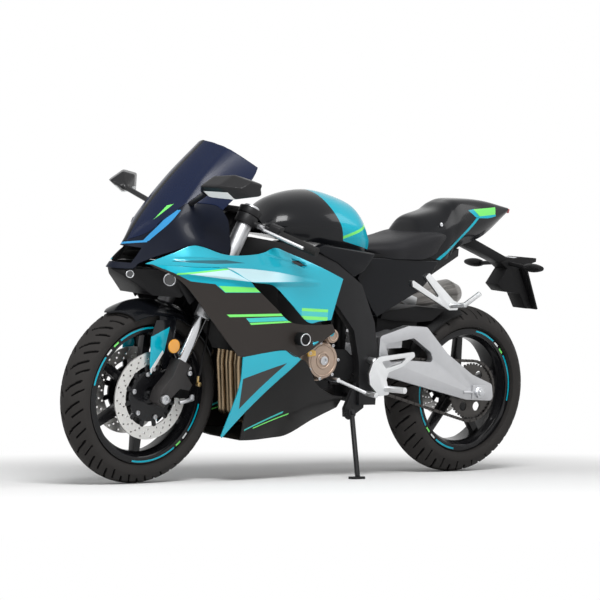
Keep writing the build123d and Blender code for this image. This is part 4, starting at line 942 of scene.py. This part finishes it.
# Tyres: crown arc, sidewalls and beads turned round the axle, with swept grooves pressed into the crown
tyres = {
    "front": {"axle": frontAxle, "radius": bike["frontRadius"], "half": 60, "bead": 38, "node": "front_tyre",
              "body": "front_wheel", "matrix": toSteered, "grooves": 26},
    "rear": {"axle": rearAxle, "radius": bike["rearRadius"], "half": 80, "bead": 54, "node": "rear_tyre",
             "body": "rear_wheel", "matrix": toWorld, "grooves": 24},
}
tread = {"sag": 0.62, "beadRadius": 231.5, "deep": 5.0, "wide": 9.0, "sweep": 0.42, "around": 720, "across": 56,
         "cuts": ((0.0, 0.02, 0.78, 1.0), (0.5, 0.36, 0.97, 0.85)), "crown": 0.72, "shadowFrom": 0.9,
         "sideShift": 0.25, "curl": 0.7, "sweepCount": 12, "tipInner": 0.1, "tipOuter": 0.05, "bank": 1.4}


# Swept cuts, each as (offset along the turn, inner and outer share of the half crown, width)
def grooveDepth(turn, share, count, circle):
    side = abs(share)
    shift = tread["sideShift"] if share < 0 else 0.0
    lag = side ** tread["curl"] * tread["sweep"] * count / tread["sweepCount"]
    deep = 0.0
    for offset, inner, outer, wide in tread["cuts"]:
        phase = turn * count + shift + offset - lag
        gap = abs(phase - round(phase)) * circle / count
        half = wide * tread["wide"] / 2
        if gap < half and inner < side < outer:
            ends = min(1.0, (side - inner) / tread["tipInner"], (outer - side) / tread["tipOuter"])
            deep = max(deep, tread["deep"] * ends * min(1.0, (half - gap) / tread["bank"]))
    return deep


# Crown arc: how far it drops to the shoulder, its radius and its half angle
def crownOf(spec):
    sag = spec["half"] * tread["sag"]
    bend = (spec["half"] ** 2 + sag * sag) / (2 * sag)
    return sag, bend, math.atan2(spec["half"], bend - sag)


# The sidewall goes from the shoulder in to the heel of the bead, as (half width, radius)
def tyreForm(spec):
    half, radius, bead, rim = spec["half"], spec["radius"], spec["bead"], tread["beadRadius"]
    sag, bend, reach = crownOf(spec)
    wall = [(half, radius - sag), (half - 0.6, (radius - sag + rim) / 2 + 3), (half - 7, rim + 4), (bead, rim),
            (bead - 3, rim - 9)]

    def profile(v, turn):
        share = (v - 0.5) * 2 / tread["crown"]
        if abs(share) < 1:
            out = bend - grooveDepth(turn, share, spec["grooves"], math.tau * radius)
            return out * math.sin(share * reach), radius - bend + out * math.cos(share * reach)
        y, r = curveAt(wall, (abs(share) - 1) / (1 / tread["crown"] - 1))
        return math.copysign(y, share), r

    def shape(u, v):
        y, r = profile(v, u)
        a = u * math.tau
        return spec["axle"] + Vector((r * math.cos(a), y, r * math.sin(a)))

    return outward(formed(tread["around"], tread["across"], shape))


# Painted shadow in the cuts: faces of the deeper cuts get a near-black rubber as their shade
def shadowInCuts(tyre, spec):
    tyre.data.materials.append(finishes["groove"].material)
    radius, home = spec["radius"], spec["matrix"].inverted()
    sag, bend, reach = crownOf(spec)
    for face in tyre.data.polygons:
        place = home @ face.center - spec["axle"]
        out = math.hypot(place.x, place.z)
        turn = (math.atan2(place.z, place.x) / math.tau) % 1.0
        share = math.atan2(place.y, out - radius + bend) / reach
        if abs(share) < 1 and out > radius - sag - 2:
            deep = grooveDepth(turn, share, spec["grooves"], math.tau * radius)
            face.material_index = int(deep > tread["shadowFrom"])


for side, spec in tyres.items():
    tyre = settle(tyreForm(spec), side + "Tyre", "tyre", spec["body"], spec["matrix"], 40, (spec["node"],))
    shadowInCuts(tyre, spec)
print("tyres done")


# Wheels: lacquered casting with a plain cyan line and short white and lime marks on the rim's edge
rimMarks = {"line": (218.5, 224.5), "repeats": 2.0, "dashes": (("cyan", 0.05, 0.19), ("cyan", 0.3, 0.56),
                                                               ("white", 0.203, 0.236), ("lime", 0.254, 0.286))}


def rimFinish(name, axle, steered, phase):
    def layers(s, x, y, z):
        across, up = x - axle.x, z - axle.z
        line = (across * across + up * up).math("SQRT").between(*rimMarks["line"])
        turn = up.math("ARCTAN2", across) / math.tau + 0.5
        part = (turn * rimMarks["repeats"] + phase).math("FRACT")
        return [(line * part.between(start, end), colours[tint]) for tint, start, end in rimMarks["dashes"]]

    return paint(name, (0.005, 0.005, 0.006, 1), 0.0, 0.26, 0.2, 0.2, layers=layers, steered=steered, sheen=0.2)


finishes["front_rim_paint"] = rimFinish("frontRimLacquer", frontAxle, True, 0.0)
finishes["rear_rim_paint"] = rimFinish("rearRimLacquer", rearAxle, False, 0.5)

# CAD nodes that keep their shape and get rounded edges: width in millimetres, finish
rounded = {
    "main_frame": (9, "dark_metal"), "swingarm": (8, "silver"), "engine_block": (6, "engine_metal"),
    "generator_cover": (4, "cover_metal"), "clutch_cover": (4, "cover_metal"),
    "drive_sprocket_cover": (4, "black_plastic"),
    "seat_subframe": (3, "dark_metal"), "rear_hugger": (1.2, "black_plastic"), "plate_hanger": (2, "black_plastic"),
    "triple_clamps": (2, "dark_metal"), "clip_ons": (1.5, "dark_metal"), "levers": (1, "silver"),
    "fork_feet": (5, "foot_metal"), "front_calipers": (4, "black_plastic"), "rider_rests": (1.6, "pale_alloy"),
    "pillion_rests": (2, "pale_alloy"), "foot_levers": (1, "pale_alloy"), "side_stand": (1.2, "dark_metal"),
    "stand_bracket": (2, "dark_metal"), "front_rim": (4, "front_rim_paint"), "rear_rim": (4, "rear_rim_paint"),
    "headlamp_housing": (8, "black_plastic"), "fairing_stay": (4, "dark_metal"), "dash": (5, "black_plastic"),
    "underseat_box": (12, "black_paint"), "tank_side_covers": (6, "black_paint"),
    "muffler": (3, "muffler_steel"), "radiator": (2, "black_plastic"), "rear_sprocket": (0.8, "chain_steel"),
    "shock_absorber": (2, "dark_metal"), "front_fender": (1.2, "black_paint"), "fork_outer_tubes": (1, "silver"),
    "tail_lamp": (2, "lamp_red"), "rear_axle": (1.5, "bright"), "crash_bobbins": (4, "black_plastic"),
    "rear_indicators": (2, "black_plastic"),
}
for node, (width, finish) in rounded.items():
    words = node.split("_")
    soften(node, words[0] + "".join(w.title() for w in words[1:]) + "Form", width, finish)
print("rounded", len(rounded), "nodes")

# Mirrors: the node's wedge remeshed and relaxed into a rounded shell
mirrorShape = {"voxel": 0.0032, "ease": 0.5, "passes": 16}
mirrorPair = copyOf(nodes["mirrors"])
merge(mirrorPair, weld["node"])
bpy.ops.object.mode_set(mode="OBJECT")
modify(mirrorPair, "REMESH", mode="VOXEL", voxel_size=mirrorShape["voxel"])
modify(mirrorPair, "SMOOTH", factor=mirrorShape["ease"], iterations=mirrorShape["passes"])
settle(mirrorPair, "mirrorsForm", "mirror_shell", "chassis", None, 60, ("mirrors",))

# Brake discs: floating ring with drilled holes on a dark carrier
discs = {
    "front": {"axle": frontAxle, "outer": 145, "inner": 102, "sides": (58.8, -58.8), "node": "front_discs",
              "body": "front_wheel", "matrix": toSteered, "arms": 6},
    "rear": {"axle": rearAxle, "outer": 108, "inner": 65, "sides": (-68.8,), "node": "rear_disc",
             "body": "rear_wheel", "matrix": toWorld, "arms": 5},
}
discShape = {"thick": 5, "holes": 60, "holeRows": (0.22, 0.5, 0.78), "holeRadius": 3.6, "drillReach": 9,
             "carrierGap": 17, "carrierBore": 30, "carrierThick": 7, "lug": (-22, 3), "lugRadius": 9, "lugFlat": 0.4,
             "boltGap": 28}


def onCircle(radius, angle, y=0):
    return Vector((radius * math.cos(angle), y, radius * math.sin(angle)))


def ringPlate(outer, inner, thick, steps=96):
    piece = outward(formed(steps, 3, lambda u, v: onCircle(inner + (outer - inner) * v, u * math.tau)))
    modify(piece, "SOLIDIFY", thickness=thick, offset=0)
    return piece


def atWheel(piece, spec, y):
    piece.data.transform(Matrix.Translation(spec["axle"] + Vector((0, y, 0))))
    return piece


def drilledDisc(spec, y):
    drills = []
    far = discShape["drillReach"]
    for k in range(discShape["holes"]):
        a = k * math.tau / discShape["holes"]
        r = spec["inner"] + (spec["outer"] - spec["inner"]) * discShape["holeRows"][k % 3]
        drills.append(bar(onCircle(r, a, -far), onCircle(r, a, far), discShape["holeRadius"], 10, 0))
    disc = ringPlate(spec["outer"], spec["inner"], discShape["thick"])
    return atWheel(cutBy(disc, joined(drills)), spec, y)


def discCarrier(spec, y):
    outer = spec["inner"] - discShape["carrierGap"]
    parts = [ringPlate(outer, discShape["carrierBore"], discShape["carrierThick"], 72)]
    ends = [(spec["inner"] + offset, 0, 0) for offset in discShape["lug"]]
    for k in range(spec["arms"] * 2):
        lug = bar(*ends, discShape["lugRadius"], 12, 2)
        turn = Matrix.Rotation((k + 0.5) * math.pi / spec["arms"], 4, "Y")
        lug.data.transform(turn @ Matrix.Scale(discShape["lugFlat"], 4, (0, 1, 0)))
        parts.append(lug)
    return atWheel(joined(parts), spec, y)


def discBolts(spec, y):
    parts = []
    out = math.copysign(1, y)
    for k in range(spec["arms"]):
        spot = onCircle(spec["inner"] - discShape["boltGap"], (k + 0.2) * math.tau / spec["arms"], y + 3 * out)
        parts.append(bolt(spec["axle"] + spot, (0, out, 0), 8, 6))
    return joined(parts)


for side, spec in discs.items():
    for build, name, finish, stands in ((drilledDisc, "DiscRings", "disc_steel", (spec["node"],)),
                                        (discCarrier, "DiscCarriers", "rim_black", ()),
                                        (discBolts, "DiscBolts", "silver", ())):
        pieces = joined([build(spec, y) for y in spec["sides"]])
        settle(pieces, side + name, finish, spec["body"], spec["matrix"], stands=stands)
print("discs done")

# Chain: outer and inner plates with rollers, one pitch at a time round both sprockets
chain = {"rearRadius": 111, "frontCentre": Vector((-62, 92, 398)), "frontRadius": 38, "pitch": 15.9, "plate": 6.2,
         "waist": 0.72, "thick": 1.8, "rollerRadius": 4.6, "innerGap": 3.6, "outerGap": 5.9, "lineSteps": 120,
         "arcSteps": 80}


def chainPath():
    front, frontRadius, rearRadius = chain["frontCentre"], chain["frontRadius"], chain["rearRadius"]
    rear = Vector((rearAxle.x, front.y, rearAxle.z))
    along = (front - rear).normalized()
    tilt = (rearRadius - frontRadius) / (front - rear).length
    lift = Vector((-along.z, 0, along.x)) * math.sqrt(1 - tilt * tilt)
    bend = math.asin(tilt)
    points = []
    for start, end, arm, startRadius, endRadius, sweep in (
            (rear, front, along * tilt + lift, rearRadius, frontRadius, math.pi - 2 * bend),
            (front, rear, along * tilt - lift, frontRadius, rearRadius, math.pi + 2 * bend)):
        leave, meet = start + arm * startRadius, end + arm * endRadius
        points += [leave.lerp(meet, k / chain["lineSteps"]) for k in range(chain["lineSteps"])]
        turns = [Matrix.Rotation(sweep * k / chain["arcSteps"], 3, "Y") for k in range(chain["arcSteps"])]
        points += [end + turn @ arm * endRadius for turn in turns]
    return points


# Link plate: a flat disc stretched to one pitch, with a waist
def linkPlate(long, tall, y):
    fresh()
    bpy.ops.mesh.primitive_cylinder_add(radius=tall, depth=chain["thick"], vertices=12)
    piece = bpy.context.object
    piece.data.transform(Matrix.Rotation(math.pi / 2, 4, "X"))
    for spot in piece.data.vertices:
        if abs(spot.co.x) > 0.01:
            spot.co.x += math.copysign(long / 2, spot.co.x)
        else:
            spot.co.z *= chain["waist"]
        spot.co.y += y
    return piece


path = chainPath()
lengths = [0.0]
for a, b in zip(path, path[1:] + path[:1]):
    lengths.append(lengths[-1] + (b - a).length)
linkCount = 2 * round(lengths[-1] / chain["pitch"] / 2)
step = lengths[-1] / linkCount


def pathAt(distance):
    distance %= lengths[-1]
    k = max(i for i in range(len(path)) if lengths[i] <= distance)
    f = (distance - lengths[k]) / (lengths[k + 1] - lengths[k])
    return path[k].lerp(path[(k + 1) % len(path)], f)


linkKinds = []
for gap in (chain["innerGap"], chain["outerGap"]):
    plates = [linkPlate(step, chain["plate"], side * gap) for side in (1, -1)]
    ends = [(-step / 2, side * chain["outerGap"], 0) for side in (-1, 1)]
    linkKinds.append(joined(plates + [bar(*ends, chain["rollerRadius"], 10, 0)]))
links = []
for k in range(linkCount):
    a, b = pathAt(k * step), pathAt((k + 1) * step)
    link = copyOf(linkKinds[k % 2])
    turn = Matrix.Rotation(math.atan2(a.z - b.z, b.x - a.x), 4, "Y")
    link.data.transform(Matrix.Translation((a + b) / 2) @ turn)
    links.append(link)
for kind in linkKinds:
    remove(kind)
settle(joined(links), "driveChain", "chain_steel", stands=("chain",))
print("chain of", linkCount, "links")

# Front end, on the steered side: fender blades, reflectors, bolts, caliper ends, brake hoses
frontEnd = {
    "blade": [(712, 550), (650, 552), (668, 446), (715, 372), (722, 411), (726, 497)], "bladeWidths": (72.5, 76.5),
    "cyanFrom": ((726, 496), (678, 518)), "whiteEdge": [(676, 452), (668, 440), (712, 368), (720, 388)],
    "reflector": (666, 118, 472), "reflectorRadius": 23, "reflectorOut": 6, "backing": (-3, 0.5), "backingRim": 2,
    "stay": ((626, 104, 428), (664, 112, 468)), "stayRadius": 6,
    "bolts": (((695, 132.5, 300), 15, 9), ((706, 76, 390), 7, 5), ((600, 131, 384), 8, 6), ((582, 131, 306), 8, 6)),
    "caliperEnds": (((630, 116, 392), (584, 116, 398)), ((618, 116, 284), (560, 116, 296))), "caliperEnd": 7,
    "banjo": ((0, 12, 0), 8, 16), "ferrule": ((0, 0, 26), 5, 12),
    "hose": [(545, 112, 345), (536, 110, 380), (530, 106, 425), (512, 98, 490), (494, 84, 550), (478, 62, 610)],
    "hoseRadius": 4, "hoseLength": 0.282,
}
leftwards = Vector((0, 1, 0))


def fenderMarks(s, x, y, z):
    under = s.above(x, z, *frontEnd["cyanFrom"]).outside()
    edge = s.inside(x, z, frontEnd["whiteEdge"])
    return [(under, colours["cyan"]), (under * edge, colours["white"])]


finishes["fender_blade"] = paint("fenderBlade", colours["black"], 0.0, 0.25, 0.1, 0.4, layers=fenderMarks,
                                 steered=True, sheen=0.25)


def steeredPair(pieces, name, finish):
    settle(both(pieces), name, finish, "steering", toSteered)


steeredPair([plate(frontEnd["blade"], *frontEnd["bladeWidths"])], "fenderBlades", "fender_blade")
spot, radius = Vector(frontEnd["reflector"]), frontEnd["reflectorRadius"]
reflector = bar(spot, spot + leftwards * frontEnd["reflectorOut"], radius, 40, 2)
steeredPair([reflector], "forkReflectors", "lamp_amber")
backing = [spot + leftwards * out for out in frontEnd["backing"]]
stays = [bar(*backing, radius + frontEnd["backingRim"], 40, 1), bar(*frontEnd["stay"], frontEnd["stayRadius"], 16, 1)]
steeredPair(stays, "reflectorStays", "black_plastic")
heads = [bolt(place, leftwards, *size) for place, *size in frontEnd["bolts"]]
heads += [bar(*ends, frontEnd["caliperEnd"], 16, 2) for ends in frontEnd["caliperEnds"]]
steeredPair(heads, "frontBolts", "silver")
spot = Vector(frontEnd["hose"][0])
fittings = [frontEnd["banjo"], frontEnd["ferrule"]]
steeredPair([bar(spot, spot + Vector(aim), *size, 1) for aim, *size in fittings], "hoseEnds", "brass")


# Brake hoses: each one smooth line from its fitting up into the fork clamps
def brakeHose(name, side):
    route = [toSteered @ Vector((x, y * side, z)) for x, y, z in frontEnd["hose"]]
    line = bpy.data.curves.new(name, "CURVE")
    line.dimensions = "3D"
    spline = line.splines.new("NURBS")
    spline.points.add(len(route) - 1)
    for spot, here in zip(spline.points, route):
        spot.co = (*here, 1)
    spline.order_u = 3
    spline.use_endpoint_u = True
    spline.resolution_u = 12
    line.bevel_depth = frontEnd["hoseRadius"] * 0.001
    line.bevel_resolution = 5
    line.use_fill_caps = True
    line.materials.append(finishes["black_plastic"].material)
    hose = bpy.data.objects.new(name, line)
    bpy.context.collection.objects.link(hose)
    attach(hose, "steering")
    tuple(route[0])


brakeHose("brakeHoseLeft", 1)
brakeHose("brakeHoseRight", -1)
print("front end done")


# How far to the left a node's mesh reaches in the upright bike
def leftFace(node):
    home = toWorld.inverted()
    return max((home @ v.co).y for v in nodes[node].data.vertices)


# Engine: cover bolts and rings, sensor housing, yellow insert, shift rod, rim on the crash bobbin
engine = {
    "centre": (84, 430), "hub": (15, 7), "boltRing": 63, "boltCount": 7, "boltTurn": 0.4, "boltSink": -1.89,
    "boltSize": (5.5, 5), "rings": ((26, 4), (52, 2.5)), "bobbin": (224, 507), "bobbinRing": (19, 2),
    "sensor": (67, 516), "sensorRadius": 24, "sensorFace": 214, "sensorDeep": 40, "sensorRing": (16, 3),
    "insert": [(118, 446), (150, 442), (156, 458), (142, 468), (120, 464)], "insertWidths": (-6, 3),
    "rod": ((164, 226, 488), (76, 214, 526)), "rodRadius": 6, "rodRing": (8, 3.4),
}


def atFace(place, y):
    return Vector((place[0], y, place[1]))


coverFace = leftFace("generator_cover")
hub = atFace(engine["centre"], coverFace)
heads = [bolt(hub, leftwards, *engine["hub"])]
for k in range(engine["boltCount"]):
    spot = onCircle(engine["boltRing"], k * math.tau / engine["boltCount"] + engine["boltTurn"], engine["boltSink"])
    heads.append(bolt(hub + spot, leftwards, *engine["boltSize"]))
heads.append(ring(atFace(engine["bobbin"], leftFace("crash_bobbins")), leftwards, *engine["bobbinRing"]))
settle(joined(heads), "engineBolts", "silver")
sensorRoot = leftFace("engine_block") - engine["sensorDeep"]
sensor = [atFace(engine["sensor"], y) for y in (sensorRoot, engine["sensorFace"])]
rings = [ring(hub, leftwards, *size) for size in engine["rings"]]
rings += [bar(*sensor, engine["sensorRadius"], 36, 4), ring(sensor[1], leftwards, *engine["sensorRing"])]
settle(joined(rings), "coverRings", "cover_metal")
insert = plate(engine["insert"], *[coverFace + offset for offset in engine["insertWidths"]], 2)
settle(insert, "coverInsert", "yellow_paint")
rod = [bar(*engine["rod"], engine["rodRadius"], 20, 1.5)]
rod += [ring(end, leftwards, *engine["rodRing"]) for end in engine["rod"]]
settle(joined(rod), "shiftRod", "cyan_bar")
print("engine fittings done")

# Rear: axle adjusters and plate lamp
rear = {"block": [(-742, 288), (-742, 338), (-664, 338), (-664, 288)], "blockWidths": (-2, 5), "nut": (17, 10),
        "screw": ((-664, 312), (-622, 312)), "screwOut": 1, "screwRadius": 5,
        "lamp": [(-985, 800), (-935, 814), (-905, 806), (-960, 786)], "lampHalf": 30}
armFace = leftFace("swingarm")
blockFaces = [armFace + offset for offset in rear["blockWidths"]]
screw = [atFace(end, armFace + rear["screwOut"]) for end in rear["screw"]]
adjusters = [plate(rear["block"], *blockFaces, 1.5), bar(*screw, rear["screwRadius"], 12, 1)]
adjusters.append(bolt((rearAxle.x, blockFaces[1], rearAxle.z), leftwards, *rear["nut"]))
settle(both(adjusters), "axleAdjusters", "silver")
settle(plate(rear["lamp"], -rear["lampHalf"], rear["lampHalf"], 4), "plateLamp", "bright")
print("rear fittings done")

# Dark plates on each side, from an inner to an outer width: liner beside the lamp housing, guard behind the wing
sidePlates = {
    "noseLiner": ([(690, 692), (684, 676), (628, 604), (596, 630), (606, 700)], 163, 166),
    "wingGuards": ([(230, 600), (230, 730), (380, 730), (380, 640)], 100, 104),
}
for name, spec in sidePlates.items():
    settle(mirrored(plate(*spec)), name, "black_plastic")

# Dark plates right across, with half width and edge: under the seat, behind the plate hanger, ahead of the rear wheel
crossPlates = {
    "seatBase": ([(-152, 803), (-152, 784.5), (-478, 784.5), (-478, 812), (-300, 792)], 104, 2),
    "plateBracket": ([(-850, 792), (-879, 800), (-956, 816), (-1036, 814), (-1036, 800), (-947, 770), (-995, 690),
                      (-1034, 620), (-1000, 620), (-962, 676), (-880, 682), (-846, 708), (-889, 768)], 36, 2),
    "archGuard": ([(-250, 575), (-440, 566), (-440, 538), (-395, 482), (-300, 472), (-250, 490)], 58, 3),
    "linkageGuard": ([(-95, 285), (-95, 400), (-235, 400), (-235, 300)], 40, 3),
}
for name, (outline, half, edge) in crossPlates.items():
    settle(plate(outline, -half, half, edge), name, "black_plastic")

# Bright trim: rims of the main and side lamps as (centre, axis, radius), bolts on the tail's flanks
trim = {"lampRims": (((690, 134, 681), (0.692, 0.722, 0), 19), ((792.6, 56.6, 690), (0.573, 0.819, 0), 11.5)),
        "rimThick": 1.8, "tailBolt": ((-477, 104, 916), (0, 1, 0.25), 7, 4)}
settle(both([ring(*spec, trim["rimThick"]) for spec in trim["lampRims"]]), "lampRims", "bright")
settle(mirrored(bolt(*trim["tailBolt"])), "tailBolts", "bright")
print("guards and trim done")

# Floor, light and camera
cameraFit = {"distance": 6.5, "bearing": 52.59, "rise": -1.47, "aim": 0.5, "lens": 110.5, "sensor": 36.0,
             "centreY": 334.3, "pixels": 600.0}
studio = {"floorSize": 80.0, "floorDrop": 0.0005, "floorColour": (0.95, 0.95, 0.95, 1), "floorRough": 0.9,
          "worldLevel": 0.2, "whiteFrom": (1.0, 2.6)}

fresh()
bpy.ops.mesh.primitive_plane_add(size=studio["floorSize"], location=(0, 0, -studio["floorDrop"]))
floor = bpy.context.object
floor.name = "studioFloor"
floorPaint = Shader("paleFloor")
floorPaint.set(Base_Color=studio["floorColour"], Roughness=studio["floorRough"])
spot = floorPaint.node("ShaderNodeTexCoord", out=3)
reach = floorPaint.node("ShaderNodeVectorMath", {"operation": "LENGTH"}, {0: spot}, out=1)
glow = floorPaint.node("ShaderNodeEmission", {}, {"Color": (1, 1, 1, 1), "Strength": 1.0})
matt = Sock(floorPaint, floorPaint.surface.outputs[0])
soft = floorPaint.node("ShaderNodeMixShader", {}, {0: reach.fade(*studio["whiteFrom"]), 1: matt, 2: glow})
floorPaint.tree.links.new(soft.socket, floorPaint.tree.nodes["Material Output"].inputs["Surface"])
floor.data.materials.append(floorPaint.material)

# Area lights as place, aim, size and power
lamps = {
    "keySoftbox": ((2.2, 3.6, 4.2), (0, 0, 0.5), (2.6, 1.8), 270),
    "noseSoftbox": ((4.8, -0.6, 2.6), (0.4, 0, 0.7), (2.0, 2.4), 45),
    "rearSoftbox": ((-3.6, 2.6, 3.4), (-0.3, 0, 0.5), (2.5, 2.0), 45),
}
for name, (place, aim, size, power) in lamps.items():
    bpy.ops.object.light_add(type="AREA", location=place)
    lamp = bpy.context.object
    lamp.name = name
    lamp.rotation_euler = (Vector(aim) - Vector(place)).to_track_quat("-Z", "Y").to_euler()
    lamp.data.shape = "RECTANGLE"
    lamp.data.size, lamp.data.size_y = size
    lamp.data.energy = power

# White where the camera, a reflection or a lens looks past the bike, a low even light for everything else
world = bpy.data.worlds.new("studioWorld")
bpy.context.scene.world = world
world.use_nodes = True
sky = world.node_tree
even = sky.nodes["Background"]
plain = sky.nodes.new("ShaderNodeBackground")
for background, level in ((even, studio["worldLevel"]), (plain, 1.0)):
    background.inputs["Color"].default_value = (1, 1, 1, 1)
    background.inputs["Strength"].default_value = level
rays = sky.nodes.new("ShaderNodeLightPath")
seen = rays.outputs["Is Camera Ray"]
for kind in ("Is Glossy Ray", "Is Transmission Ray"):
    either = sky.nodes.new("ShaderNodeMath")
    either.operation = "MAXIMUM"
    sky.links.new(seen, either.inputs[0])
    sky.links.new(rays.outputs[kind], either.inputs[1])
    seen = either.outputs[0]
choose = sky.nodes.new("ShaderNodeMixShader")
for slot, socket in enumerate((seen, even.outputs[0], plain.outputs[0])):
    sky.links.new(socket, choose.inputs[slot])
sky.links.new(choose.outputs[0], sky.nodes["World Output"].inputs["Surface"])

bearing, rise = math.radians(cameraFit["bearing"]), math.radians(cameraFit["rise"])
outwards = Vector((math.cos(rise) * math.cos(bearing), math.cos(rise) * math.sin(bearing), math.sin(rise)))
aim = ground + Vector((0, 0, cameraFit["aim"]))
bpy.ops.object.camera_add(location=aim + outwards * cameraFit["distance"])
camera = bpy.context.object
camera.data.sensor_width = cameraFit["sensor"]
camera.data.lens = cameraFit["lens"]
camera.rotation_euler = (-outwards).to_track_quat("-Z", "Y").to_euler()
camera.data.shift_y = (cameraFit["centreY"] - cameraFit["pixels"] / 2) / cameraFit["pixels"]
bpy.context.scene.camera = camera
bpy.context.scene.view_settings.view_transform = "Standard"
